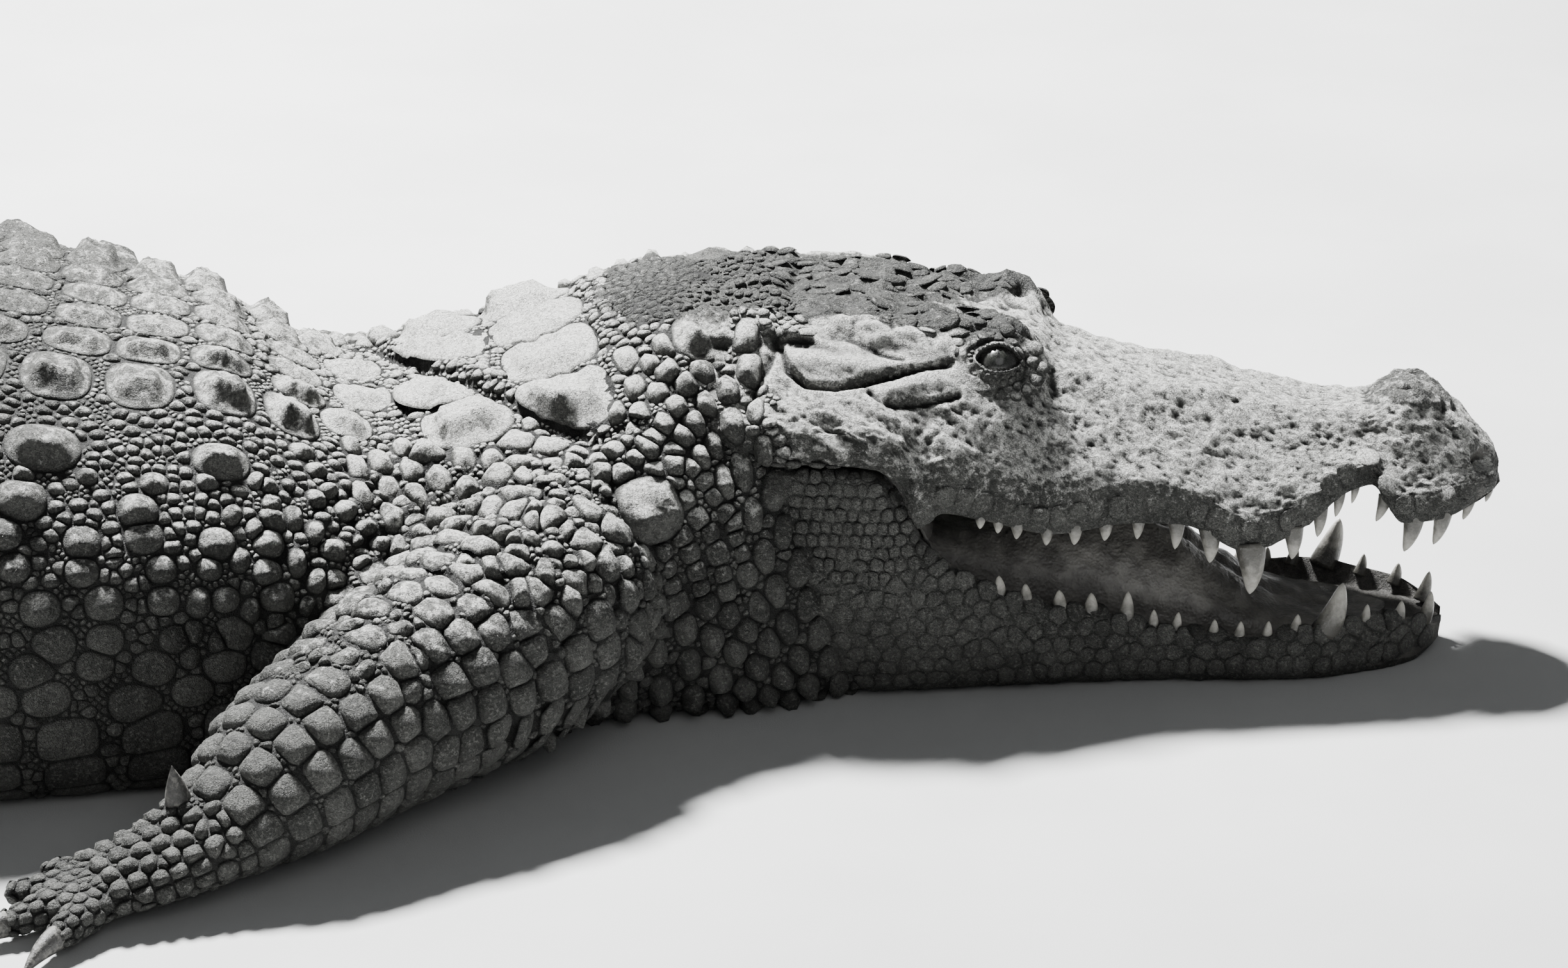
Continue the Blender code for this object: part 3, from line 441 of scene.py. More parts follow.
def join(parts):
    """One (points, list of faces) from several."""
    points, faces, count = [], [], 0
    for part_points, part_faces in parts:
        points.append(part_points)
        faces += [np.asarray(f) + count for f in part_faces]
        count += len(part_points)
    return np.vstack(points), faces


def normals_of(points, faces):
    """Smooth normals at the points."""
    total = np.zeros_like(points)
    for f in faces:
        diagonal_a = points[f[:, 2]] - points[f[:, 0]]
        diagonal_b = points[f[:, -1]] - points[f[:, 1]]
        if f.shape[1] == 3:
            diagonal_a, diagonal_b = points[f[:, 1]] - points[f[:, 0]], points[f[:, 2]] - points[f[:, 0]]
        normal = np.cross(diagonal_a, diagonal_b)
        for k in range(f.shape[1]):
            np.add.at(total, f[:, k], normal)
    return unit(total)


def smooth(points, edges, rounds, strength):
    """Relaxes points towards their neighbours' mean. strength is one number or one for each point."""
    count = np.bincount(edges.ravel(), minlength=len(points))[:, None]
    weight = np.broadcast_to(np.asarray(strength, float), (len(points),))[:, None]
    for _ in range(rounds):
        total = np.zeros_like(points)
        for k in range(3):
            total[:, k] = (np.bincount(edges[:, 0], points[edges[:, 1], k], len(points))
                           + np.bincount(edges[:, 1], points[edges[:, 0], k], len(points)))
        points = points + weight * (total / np.maximum(count, 1) - points)
    return points


def rough(points, scale, octaves=4):
    """Fractal noise from about -1 to 1 at each point."""
    return np.array([noise.fractal(Vector(p), 1.0, 2.0, octaves) for p in points * scale])


# The skin -------------------------------------------------------------------------------------------

VOXEL = 0.006
HEAD_INSET = 0.0008
ABOVE_GROUND = 0.0012  # the least height of the body's skin
# Folds of the head, for both sides: (points of x, y, z in the straight head, reach, height)
EAR_SLIT = [(0.008, 0.094, 0.239), (0.011, 0.111, 0.228), (0.022, 0.121, 0.222), (0.040, 0.121, 0.220),
            (0.058, 0.115, 0.223), (0.076, 0.107, 0.225), (0.094, 0.098, 0.227), (0.114, 0.090, 0.230)]
EAR_LOBES = [(0.020, 0.100, 0.236), (0.055, 0.100, 0.234), (0.095, 0.096, 0.228)]
LOBE_SPLIT = [(0.010, 0.089, 0.242), (0.026, 0.090, 0.242), (0.047, 0.085, 0.243), (0.068, 0.094, 0.235),
              (0.082, 0.096, 0.231)]
FLAP_EDGE = [(0.011, 0.071, 0.253), (0.023, 0.066, 0.256), (0.047, 0.067, 0.255), (0.074, 0.065, 0.252),
             (0.101, 0.065, 0.248), (0.113, 0.070, 0.244), (0.117, 0.078, 0.238)]
CHEEK_FOLD = [(0.062, 0.120, 0.219), (0.069, 0.125, 0.212), (0.084, 0.123, 0.210), (0.105, 0.114, 0.210),
              (0.120, 0.108, 0.213)]
NAPE_GROOVE = [(0.010, 0.0, 0.257), (0.010, 0.045, 0.258), (0.008, 0.078, 0.249), (0.003, 0.098, 0.236),
               (-0.007, 0.116, 0.225), (-0.019, 0.135, 0.207)]
HEAD_FOLDS = [
    (EAR_SLIT, 0.0022, -0.0085),
    (LOBE_SPLIT, 0.0020, -0.0040),
    (FLAP_EDGE, 0.0022, -0.0032),
    (CHEEK_FOLD, 0.0022, -0.0040),
    (NAPE_GROOVE, 0.0040, -0.0060),
    ([(0.052, 0.074, 0.251), (0.050, 0.085, 0.244)], 0.0018, -0.0022),
    ([(0.018, 0.080, 0.248), (0.040, 0.076, 0.250)], 0.0085, 0.0034),
    ([(0.062, 0.077, 0.248), (0.085, 0.080, 0.243), (0.105, 0.079, 0.240)], 0.0085, 0.0034),
    ([(0.020, 0.104, 0.233), (0.040, 0.105, 0.231), (0.060, 0.104, 0.229), (0.080, 0.100, 0.229)],
     0.0085, 0.0048),
    ([(0.074, 0.116, 0.218), (0.110, 0.101, 0.221)], 0.0050, 0.0020),
    ([(0.119, 0.064, 0.247), (0.145, 0.058, 0.250), (0.168, 0.053, 0.238)], 0.0075, 0.0028),
    ([(0.181, 0.058, 0.214), (0.186, 0.070, 0.203)], 0.0060, -0.0030),
    ([(-0.010, 0.147, 0.181), (0.034, 0.149, 0.183), (0.066, 0.148, 0.183), (0.092, 0.142, 0.170)],
     0.0065, 0.0030),
    ([(0.000, 0.140, 0.200), (0.030, 0.140, 0.198), (0.055, 0.138, 0.203)], 0.0060, 0.0025),
    ([(0.050, 0.142, 0.192), (0.080, 0.138, 0.192), (0.105, 0.128, 0.197)], 0.0055, 0.0022),
    ([(0.190, 0.046, 0.214), (0.240, 0.043, 0.208), (0.290, 0.036, 0.199)], 0.0110, 0.0028),
    ([(0.402, 0.055, 0.172), (0.405, 0.061, 0.155), (0.405, 0.061, 0.142)], 0.0055, -0.0035),
    ([(0.437, 0.010, 0.198), (0.431, 0.017, 0.197), (0.422, 0.018, 0.196)], 0.0022, -0.0055),
    ([(0.478, 0.029, 0.152), (0.481, 0.024, 0.152)], 0.0075, -0.0120),
]
NOSE_MIDDLE, NOSE_LENGTH, NOSE_WIDTH, NOSE_RISE = 0.428, 0.030, 0.033, 0.0030
# Lids, in a plane across the line of sight: u runs forwards and v up
EYE_AXIS = (0.05, 0.81, 0.58)
SOCKET_DEPTH = 0.009  # how far the head's skin is sunk under the lids
LID_RADIUS = EYE_RADIUS + 0.0006
OPENING_LENGTH, OPENING_TOP, OPENING_BOTTOM = 0.0150, 0.0098, 0.0088
LID_LENGTH, LID_TOP, LID_BOTTOM = 0.034, 0.025, 0.028
LID_BLEND, LID_TUCK = 0.003, 0.0012  # how softly lids leave the eyeball, and how far their border dips in
# Folds of the lids: (1 above the eye, -1 below it, 0 all round; height, share of the way out, reach)
LID_FOLDS = [(0, 0.0011, 0.06, 0.05), (1, -0.0016, 0.30, 0.05), (1, 0.0018, 0.50, 0.12),
             (-1, -0.0012, 0.42, 0.05)]
# The lids' rings: 0 is the opening's rim, 1 the outer border, and below 0 they turn in under the rim
LID_RINGS = (-0.06, -0.02, 0.03, 0.07, 0.11, 0.16, 0.21, 0.27, 0.33, 0.39, 0.46, 0.53, 0.6, 0.68, 0.76,
             0.84, 0.92, 1.0)
# The neck's hind crease, from the left over the spine to the right: (s, share, side)
NECK_CREASE = [(0.262, 0.147, 1), (0.240, 0.03, 1), (0.220, 0.048, -1), (0.195, 0.13, -1),
               (0.168, 0.215, -1), (0.135, 0.262, -1), (0.105, 0.262, -1)]
SHOULDER_RIGHT, SHOULDER_LEFT = (-0.200, -0.268, 0.080), (-0.215, 0.235, 0.070)
WRINKLE_PITCH = 0.0175
NECK_COLUMN = 0.0182  # from one upright fold of the neck to the next
ARM_PLEAT, JAW_PLEAT = 0.023, 0.0105  # from one fold to the next along the upper arm and up the jaw


def nearness(points, line, reach):
    """1 on a polyline, falling smoothly to 0 past reach."""
    line = np.asarray(line, float)
    best = np.full(len(points), 1.0)
    for a, b in zip(line, line[1:]):
        along = b - a
        t = np.clip((points - a) @ along / (along @ along), 0.0, 1.0)
        best = np.minimum(best, np.linalg.norm(points - a - t[:, None] * along, axis=1))
    return np.exp(-(best / reach) ** 2)


def distance_to(points, line):
    """How far points are from a polyline, and their nearest places: how far along, the way there, where."""
    line = np.asarray(line, float)
    best, length = np.full(len(points), 9.0), 0.0
    place, way, foot = np.zeros(len(points)), np.zeros((len(points), 3)), np.zeros((len(points), 3))
    for a, b in zip(line, line[1:]):
        step = np.linalg.norm(b - a)
        along = (b - a) / step
        t = np.clip((points - a) @ along, 0.0, step)
        nearest = a + t[:, None] * along
        far = np.linalg.norm(points - nearest, axis=1)
        closer = far < best
        best = np.where(closer, far, best)
        place = np.where(closer, length + t, place)
        way = np.where(closer[:, None], along, way)
        foot = np.where(closer[:, None], nearest, foot)
        length += step
    return best, place, way, foot


def body_tube():
    """The neck, trunk and tail as one closed tube, rounded in at the neck's collar."""
    half = 70
    share = np.linspace(0.0, 1.0, half)
    shares = np.concatenate([share, share[-2:0:-1]])
    sides = np.concatenate([np.ones(half), -np.ones(half - 2)])
    places = np.arange(0.0, BODY_LENGTH, 0.008)
    rings = list(body_at(places[:, None], shares, sides))
    middle = rings[0].mean(axis=0)
    _, back, _ = spine(np.array(0.0))
    for forward, size in ((0.003, 0.992), (0.009, 0.965), (0.014, 0.90), (0.016, 0.78)):
        rings.insert(0, middle + size * (body_at(0.0, shares, sides) - middle) - forward * back)
    return closed_tube(np.array(rings))


def limb_tubes():
    """Each limb and each digit as a closed tube."""
    parts = []
    angle = np.linspace(0.0, 2 * math.pi, 48, endpoint=False)
    for _, side, stations, digits in limbs():
        parts.append(closed_tube(limb_at(stations, np.linspace(0.0, LIMB_END, 90)[:, None], angle)))
        for start, way, length, radius, *_ in digits_of(side, stations, digits):
            share = np.linspace(0.0, 1.0, 24)[:, None]
            parts.append(closed_tube(digit_at(start, way, length, radius, share, angle)))
    return parts


def merged(points, faces):
    """One closed surface round overlapping tubes."""
    source = bpy.data.objects.new("merging", fill(points, faces, "merging"))
    bpy.context.scene.collection.objects.link(source)
    remesh = source.modifiers.new("Voxels", "REMESH")
    remesh.mode = "VOXEL"
    remesh.voxel_size = VOXEL
    mesh = bpy.data.meshes.new_from_object(source.evaluated_get(bpy.context.evaluated_depsgraph_get()))
    found = np.empty(3 * len(mesh.vertices))
    mesh.vertices.foreach_get("co", found)
    edges = np.empty(2 * len(mesh.edges), int)
    mesh.edges.foreach_get("vertices", edges)
    corners = np.empty(len(mesh.loops), int)
    mesh.loops.foreach_get("vertex_index", corners)
    old = source.data
    bpy.data.objects.remove(source)
    bpy.data.meshes.remove(old)
    bpy.data.meshes.remove(mesh)
    return found.reshape(-1, 3), edges.reshape(-1, 2), corners.reshape(-1, 4)


SHOULDER_FOLD, ARM_FOLD, NECK_FOLD = 0.0024, 0.0022, 0.0036  # heights of the folds
CREASE_DEPTH, CREASE_REACH = 0.0065, 0.0065  # the neck's hind crease
SWELL_RISE, SWELL_REACH, SWELL_BACK = 0.0045, 0.009, 0.014  # and the swelling behind it


def waves(phase, pitch):
    """Even waves from -1 to 1, a pitch apart."""
    return np.sin(2 * math.pi * phase / pitch)


def arm_folds(points, centre, stations, side):
    """Heights of the folds that ring a shoulder and cross its upper arm."""
    from_arm = np.linalg.norm(points - centre, axis=1)
    here = fade(from_arm, 0.105, 0.085) * fade(from_arm, 0.150, 0.195)
    here *= fade(points[:, 2], 0.13, 0.09) * fade(side * points[:, 1], 0.10, 0.05)
    phase = from_arm + 0.004 * np.sin(40 * points[:, 0]) + 0.003 * np.sin(67 * points[:, 2])
    height = SHOULDER_FOLD * here * waves(phase, WRINKLE_PITCH)
    far, place, _, _ = distance_to(points, np.array(stations)[:, :3])
    on_arm = fade(far, 0.082, 0.094) * fade(place, 0.12, 0.09) * fade(place, 0.20, 0.30)
    return height + ARM_FOLD * on_arm * waves(place + 0.2 * (points[:, 2] - 0.1), ARM_PLEAT)


def neck_folds(points):
    """Heights of the upright pleats down the neck's sides, and of the crease that runs round behind it."""
    along = np.linspace(-0.02, 0.34, 60)
    here = spine(along)[0][:, :2]
    index = np.argmin(np.linalg.norm(points[:, None, :2] - here[None], axis=2), axis=1)
    s = along[index]
    leaning = s + 0.010 + 0.018 * (points[:, 2] - 0.2) / 0.1
    pleat = 0.5 + 0.5 * np.cos(2 * math.pi * leaning / NECK_COLUMN)
    necked = fade(s, 0.27, 0.31) * fade(points[:, 2], 0.235, 0.255) * (s > -0.019)
    crease = np.array([body_at(*row) for row in NECK_CREASE])
    swelling = crease - spine(np.array(0.2))[1] * SWELL_BACK
    return (NECK_FOLD * necked * (pleat - 0.7) - CREASE_DEPTH * nearness(points, crease, CREASE_REACH)
            + SWELL_RISE * nearness(points, swelling, SWELL_REACH))


def body_skin():
    """One skin round the neck, trunk, tail and limbs, softened where the limbs join, with its folds."""
    points, faces = join([body_tube(), *limb_tubes()])
    points, edges, quads = merged(points, faces)
    points = smooth(points, edges, 3, 0.5)
    near_limb = np.zeros(len(points))
    for _, _, stations, _ in limbs():
        root = np.array(stations)[1, :3]
        near_limb = np.maximum(near_limb, fade(np.linalg.norm(points - root, axis=1), 0.10, 0.17))
    points = smooth(points, edges, 10, 0.5 * near_limb)
    normal = normals_of(points, [quads])
    height = neck_folds(points)
    height += arm_folds(points, SHOULDER_RIGHT, RIGHT_ARM, -1)
    height += arm_folds(points, SHOULDER_LEFT, LEFT_ARM, 1)
    points = points + normal * height[:, None]
    points[:, 2] = np.maximum(points[:, 2], ABOVE_GROUND)
    return points, [quads]


def section_places(counts):
    """Places along an outline of control points, counted in them, with so many steps after each."""
    steps = [k + np.arange(count) / count for k, count in enumerate(counts)]
    return np.concatenate([*steps, [len(counts)]])


def whole_section(outline, places, x):
    """A closed smooth ring at x through half an outline's control points."""
    half = through(np.column_stack([np.arange(len(outline)), outline]), places)
    ring = np.vstack([half, (half * [-1, 1])[-2:0:-1]])
    return np.column_stack([np.full(len(ring), x), ring])


def skull_outline(x):
    """Half of the skull's section: its table, side, lip and palate."""
    width, lip, rise = through(WIDTH, x), through(LIP, x), through(LIP_RISE, x)
    table, side = through(TABLE_HALF, x), through(SIDE_HALF, x)
    top, table_z = through(TOP, x), through(TABLE_Z, x)
    palate = max(through(PALATE, x), lip + 0.0002)
    return [(0, top), (0.6 * table, 0.45 * top + 0.55 * table_z), (table, table_z),
            (side, through(SIDE_Z, x)), (width, lip + rise), (0.985 * width, lip + 0.25 * rise),
            (0.94 * width, lip), (0.82 * width, lip), (0.6 * width, 0.7 * palate + 0.3 * lip), (0, palate)]


def jaw_outline(x):
    """Half of the lower jaw's section: the mouth's floor, the lip, the side and the chin."""
    half, top, chin = through(JAW_HALF, x), through(JAW_TOP, x), through(CHIN, x)
    floor = top - through(FLOOR_DEPTH, x)
    return [(0, floor), (0.45 * half, floor), (0.78 * half, floor), (0.90 * half, top),
            (0.98 * half, top - 0.004), (half, 0.55 * top + 0.45 * chin),
            (0.93 * half, chin + 0.14 * (top - chin)), (0.78 * half, chin), (0, chin)]


def eye_frame(side):
    """The eye's centre and its axes forwards, up and out, in the straight head."""
    centre = np.array([EYE_CENTRE[0], side * EYE_CENTRE[1], EYE_CENTRE[2]])
    out = unit(np.array(EYE_AXIS) * [1, side, 1])
    ahead = unit(np.array([1.0, 0.0, 0.0]) - out * out[0])
    up = np.cross(out, ahead)
    return centre, ahead, up * np.sign(up[2]), out


def from_nose(x, y):
    """0 at the middle of the nose's raised oval, and 1 on its rim."""
    return ((x - NOSE_MIDDLE) / NOSE_LENGTH) ** 2 + (y / NOSE_WIDTH) ** 2


def head_relief(points, normals):
    """Heights of the head's folds, lobes, ridges and rough bone."""
    both = mirrored(points)
    x, y, z = both.T
    outside = fade(z, through(LIP, x) - 0.002, through(LIP, x) - 0.006) * fade(normals[:, 2], -0.3, -0.8)
    height = np.zeros(len(points))
    for line, reach, rise in HEAD_FOLDS:
        height += rise * nearness(both, line, reach)
    on_nose = fade(from_nose(x, y), 0.75, 1.05) * fade(normals[:, 2], 0.3, 0.0)
    height += NOSE_RISE * on_nose
    flap = np.maximum(nearness(both, EAR_SLIT[2:], 0.012), nearness(both, EAR_LOBES, 0.022))
    bare = (1 - 0.70 * flap) * outside
    grit = 1 - 2.4 * np.abs(rough(both * [0.75, 1.0, 1.0], 150.0, 3))
    height += 0.0008 * bare * np.maximum(grit, -1.0)
    height += 0.0024 * bare * rough(both * [0.8, 1.0, 1.0], 62.0, 5)
    height += 0.0022 * on_nose * (1 - 3 * np.abs(rough(both, 60.0, 2)))
    snout = fade(z, 0.225, 0.21) * fade(x, 0.17, 0.19)
    height += 0.0026 * snout * bare * rough(both, 38.0, 3)
    skull = fade(z, 0.245, 0.235) * fade(x, 0.16, 0.18)
    height += 0.0022 * skull * bare * rough(points * [0.45, 1.0, 1.0], 80.0, 4)
    table = fade(x, 0.155, 0.17) * fade(z, 0.244, 0.238)
    height += 0.0050 * table * (0.6 - 2.2 * np.abs(rough(points * [0.6, 1.0, 1.0], 26.0, 3)))
    along_grain, across_grain = 0.85 * x - 0.53 * z, 0.53 * x + 0.85 * z
    flowing = np.column_stack([0.30 * along_grain, y, across_grain])
    cheek = fade(x, 0.115, 0.15) * fade(-x, 0.005, 0.02) * fade(z, 0.205, 0.215) * fade(-z, -0.178, -0.168)
    height += 0.0034 * cheek * (0.5 - 2.0 * np.abs(rough(flowing, 46.0, 3)))
    return height - 0.0006 * bare


def grown_grid(outline_at, places, counts, inset_by):
    """A head part's grid of points in the straight head, its quads and its smooth normals."""
    along = section_places(counts)
    rings = np.array([whole_section(outline_at(x), along, x) for x in places])
    points, faces = closed_tube(rings)
    normals = normals_of(points, faces[:1])
    middle = rings.mean(axis=1, keepdims=True)
    outward = (rings - middle).reshape(-1, 3)
    if np.sum(dot(normals, outward)) < 0:
        normals = -normals
        faces = [f[:, ::-1] for f in faces]
    return points - inset_by * normals, faces, normals


def lid_edges(s):
    """How high the lids' opening and outer border lie. s is the sine of the turn about the eye."""
    opening = np.where(s > 0, OPENING_TOP, OPENING_BOTTOM) * np.sign(s) * np.abs(s) ** 1.35
    return opening, np.where(s > 0, LID_TOP, LID_BOTTOM) * s


def lids(side, head_tree):
    """The lids of one eye: a patch from the opening's rim out to where it dips into the head."""
    centre, ahead, up, out = eye_frame(side)
    turn = np.linspace(0.0, 2 * math.pi, 96, endpoint=False)
    c, s = np.cos(turn), np.sin(turn)
    opening, border = lid_edges(s)
    rings = []
    for t in LID_RINGS:
        share = max(t, 0.0)
        u = OPENING_LENGTH * (1 + min(t, 0.0)) * c * (1 - share) + LID_LENGTH * c * share
        v = opening * (1 + min(t, 0.0)) * (1 - share) + border * share
        from_axis = np.hypot(u, v)
        ball = np.sqrt(np.maximum(LID_RADIUS**2 - from_axis**2, 1e-8))
        flat = centre + u[:, None] * ahead + v[:, None] * up
        head = np.array([lid_height(p, out, head_tree) for p in flat])
        height = (ball + head + np.sqrt((ball - head) ** 2 + LID_BLEND**2)) / 2 + 0.0004
        for where, rise, middle, reach in LID_FOLDS:
            here = np.maximum(where * s, 0.0) ** 0.5 if where else 1.0
            height += here * rise * math.exp(-((t - middle) / reach) ** 2)
        if t < 0:
            height = ball - (0.0040 if t < -0.04 else 0.0008)
        height = height - LID_TUCK * max(share - 0.9, 0.0) * 10
        rings.append(flat + height[:, None] * out)
    rings = np.array(rings)
    faces = grid_faces(len(rings), len(turn), closed=True)
    points = rings.reshape(-1, 3)
    if np.sum(dot(normals_of(points, [faces]), out)) < 0:
        faces = faces[:, ::-1]
    return points, [faces]


def lid_height(point, out, head_tree):
    """How high the head's surface lies over a point, along the line of sight."""
    hit = head_tree.ray_cast(Vector(point + 0.08 * out), Vector(-out))[0]
    return float(dot(np.array(hit) - point, out)) if hit else 0.0


def head_skin():
    """Skull and upper jaw, with the eyes' sockets sunk and the lids laid over them."""
    places = np.concatenate([np.arange(REAR_X - 0.03, 0.20, 0.0016), np.arange(0.20, 0.484, 0.0021),
                             [0.486, 0.488, 0.4895, 0.491, HEAD_LENGTH - 0.0003]])
    points, faces, normals = grown_grid(skull_outline, places, (12, 12, 30, 34, 10, 6, 4, 4, 4), HEAD_INSET)
    points = points + normals * head_relief(points, normals)[:, None]
    tree = BVHTree.FromPolygons(points.tolist(), faces[0].tolist())
    parts = []
    for side in (-1, 1):
        centre, ahead, up, out = eye_frame(side)
        u, v = (points - centre) @ ahead, (points - centre) @ up
        oval = np.hypot(u / LID_LENGTH, v / np.where(v > 0, LID_TOP, LID_BOTTOM))
        near = fade(oval, 0.60, 0.86) * ((points - centre) @ out > -0.004)
        parts.append(lids(side, tree))
        points = points - SOCKET_DEPTH * near[:, None] * out
    return join([(points, faces), *parts])


def jaw_skin():
    """The lower jaw, pleated along its side under the cheek and rough at its lip."""
    places = np.concatenate([np.arange(REAR_X - 0.03, 0.445, 0.0026), [0.448, 0.451, 0.4535, 0.4555]])
    points, faces, normals = grown_grid(jaw_outline, places, (4, 4, 6, 6, 12, 14, 6, 8), HEAD_INSET)
    both = mirrored(points)
    x, z = both[:, 0], both[:, 2]
    height = 0.0011 * rough(both, 70.0, 4)
    edge = fade(z, through(JAW_TOP, x) - 0.030, through(JAW_TOP, x) - 0.006)
    pleats = np.sin(2 * math.pi * (z - 0.25 * x) / JAW_PLEAT)
    height += 0.0010 * pleats * fade(x, 0.08, 0.12) * fade(z, 0.10, 0.085)
    return points + normals * (height * (0.4 + 0.6 * edge))[:, None], faces


# painted shade: the skin between the body's scales gets this low rise, which darkens it
LOW = 0.16  # the rise of skin that lies between scales


class Skin:
    """The whole skin, with what is needed to lay scales on it."""

    def __init__(self):
        head_points, head_faces = head_skin()
        jaw_points, jaw_faces = jaw_skin()
        parts = [body_skin(),
                 (to_body_frame(head_points), head_faces),
                 (to_body_frame(jaw_points), jaw_faces)]
        self.points, self.faces = join(parts)
        self.part = np.concatenate([np.full(len(p), k) for k, (p, _) in enumerate(parts)])
        self.points[:, 2] = np.maximum(self.points[:, 2], 0.0004)
        quads = [f for f in self.faces if f.shape[1] == 4]
        self.normals = normals_of(self.points, quads)
        self.quads = np.vstack(quads)
        self.tree = BVHTree.FromPolygons(self.points.tolist(), self.quads.tolist())

    def settle(self, points):
        """The nearest places on the skin to points, the smooth normals there and how far off they were."""
        nearest = [self.tree.find_nearest(Vector(p)) for p in points]
        place = np.array([hit[0] for hit in nearest])
        quad = self.quads[[hit[2] for hit in nearest]]
        weight = 1.0 / (np.linalg.norm(self.points[quad] - place[:, None], axis=2) + 0.0005) ** 2
        normal = unit(np.sum(self.normals[quad] * weight[..., None], axis=1))
        return place, normal, np.array([hit[3] for hit in nearest])

    def outermost(self, middles, points):
        """Where the lines from middles out through points leave the skin."""
        reach = 0.08 * unit(points - middles)
        found = [self.tree.ray_cast(Vector(start), Vector(-way))[0]
                 for start, way in zip(points + reach, reach)]
        return np.array([hit if hit else point for hit, point in zip(found, points)])

    def rise(self):
        """How far each point stands up, which sets its painted shade: low between the body's scales, and by
        its curvature on the head.
        """
        edges = np.vstack([self.quads[:, pair] for pair in ([0, 1], [1, 2], [2, 3], [3, 0])])
        level = smooth(self.points, edges, 6, 0.6)
        standing = dot(self.points - level, self.normals)
        return np.where(self.part == 0, LOW, np.clip(0.66 + standing / 0.0023, LOW, 1.0))

    def lining(self):
        """1 inside the mouth, 0 elsewhere."""
        straight = from_body_frame(self.points)
        x, across, z = straight[:, 0], np.abs(straight[:, 1]), straight[:, 2]
        floor = (self.part == 2) & (self.normals[:, 2] > -0.2) & (across < 0.93 * through(JAW_HALF, x))
        palate = (self.part == 1) & (self.normals[:, 2] < 0.1) & (across < 0.92 * through(WIDTH, x))
        palate &= z < through(LIP, x) + 0.03
        return np.where((floor & (z < through(JAW_TOP, x) + 0.001)) | palate, 1.0, 0.0) * (x > 0.05)


# Materials ------------------------------------------------------------------------------------------

class Finish:
    """A material whose nodes are added by short calls, each returning the socket to link on."""

    def __init__(self, name):
        self.material = bpy.data.materials.new(name)
        self.material.use_nodes = True
        self.tree = self.material.node_tree
        self.shader = self.tree.nodes["Principled BSDF"]
        self.place = self.node("ShaderNodeTexCoord").outputs["Object"]

    def node(self, kind, **settings):
        """A new node with its settings."""
        made = self.tree.nodes.new(kind)
        for key, value in settings.items():
            setattr(made, key, value)
        return made

    def link(self, value, socket):
        """Links a socket on to another one, or sets a plain value there."""
        if isinstance(value, bpy.types.NodeSocket):
            self.tree.links.new(value, socket)
        else:
            socket.default_value = value

    def attribute(self, name):
        """The value that the mesh carries under a name."""
        return self.node("ShaderNodeAttribute", attribute_name=name).outputs["Fac"]

    def math(self, operation, a, b=0.0):
        """A sum on one or two values."""
        made = self.node("ShaderNodeMath", operation=operation)
        self.link(a, made.inputs[0])
        self.link(b, made.inputs[1])
        return made.outputs[0]

    def plus(self, a, b):
        """a and b together."""
        return self.math("ADD", a, b)

    def minus(self, a, b):
        """a less b."""
        return self.math("SUBTRACT", a, b)

    def times(self, a, b):
        """a times b."""
        return self.math("MULTIPLY", a, b)

    def noise(self, scale, detail=3.0, roughness=0.55):
        """Smooth noise, with about scale lumps to a metre."""
        made = self.node("ShaderNodeTexNoise")
        self.link(self.place, made.inputs["Vector"])
        for key, number in (("Scale", scale), ("Detail", detail), ("Roughness", roughness)):
            made.inputs[key].default_value = number
        return made.outputs["Fac"]

    def cells(self, scale, feature="F1"):
        """The distance from the middles or the edges of cells, about scale of them to a metre."""
        made = self.node("ShaderNodeTexVoronoi", feature=feature)
        self.link(self.place, made.inputs["Vector"])
        made.inputs["Scale"].default_value = scale
        return made.outputs["Distance"]

    def span(self, value, low, high, to_low=0.0, to_high=1.0):
        """value from low..high to to_low..to_high, kept within them."""
        made = self.node("ShaderNodeMapRange", interpolation_type="SMOOTHSTEP")
        self.link(value, made.inputs["Value"])
        for key, number in zip(("From Min", "From Max", "To Min", "To Max"), (low, high, to_low, to_high)):
            made.inputs[key].default_value = number
        return made.outputs["Result"]

    def mix(self, share, a, b, blend="MIX"):
        """Colour a, with colour b laid over it by a share."""
        made = self.node("ShaderNodeMix", data_type="RGBA", blend_type=blend)
        self.link(share, made.inputs["Factor"])
        self.link((*a, 1.0) if isinstance(a, tuple) else a, made.inputs["A"])
        self.link((*b, 1.0) if isinstance(b, tuple) else b, made.inputs["B"])
        return made.outputs["Result"]

    def bump(self, height, distance, under=None):
        """Normals that follow a height of so many metres, over those of another bump."""
        made = self.node("ShaderNodeBump")
        made.inputs["Distance"].default_value = distance
        made.inputs["Strength"].default_value = 1.0
        self.link(height, made.inputs["Height"])
        if under:
            self.link(under, made.inputs["Normal"])
        return made.outputs["Normal"]

    def finish(self, colour, roughness, normal):
        """Puts the results on the shader and hands over the material."""
        for key, value in (("Base Color", colour), ("Roughness", roughness), ("Normal", normal)):
            self.link(value, self.shader.inputs[key])
        return self.material


HIDE_DARK, HIDE_MID, HIDE_PALE = (0.022, 0.023, 0.021), (0.105, 0.106, 0.098), (0.22, 0.22, 0.205)
# pale colour for dry mud, which also paints light on faces that turn up
PALE_MUD_AND_LIGHT = (0.64, 0.64, 0.61)
MOUTH_DARK, MOUTH_PALE = (0.085, 0.082, 0.076), (0.17, 0.165, 0.152)
TOOTH_STAINED, TOOTH_CLEAN, TOOTH_STREAK = (0.060, 0.058, 0.051), (0.38, 0.37, 0.335), (0.16, 0.155, 0.14)
HORN, HORN_DIRT = (0.035, 0.034, 0.032), (0.15, 0.147, 0.135)
# the eye's colours are near black: its own dark iris, darkened further as painted shade of the overhanging
# lid
IRIS_DARK, IRIS_FLECK, IRIS_RIM = (0.006, 0.007, 0.006), (0.022, 0.023, 0.019), (0.022, 0.022, 0.020)
WHITE_DARK, WHITE_PALE, PUPIL = (0.018, 0.018, 0.017), (0.040, 0.039, 0.036), (0.003, 0.003, 0.003)
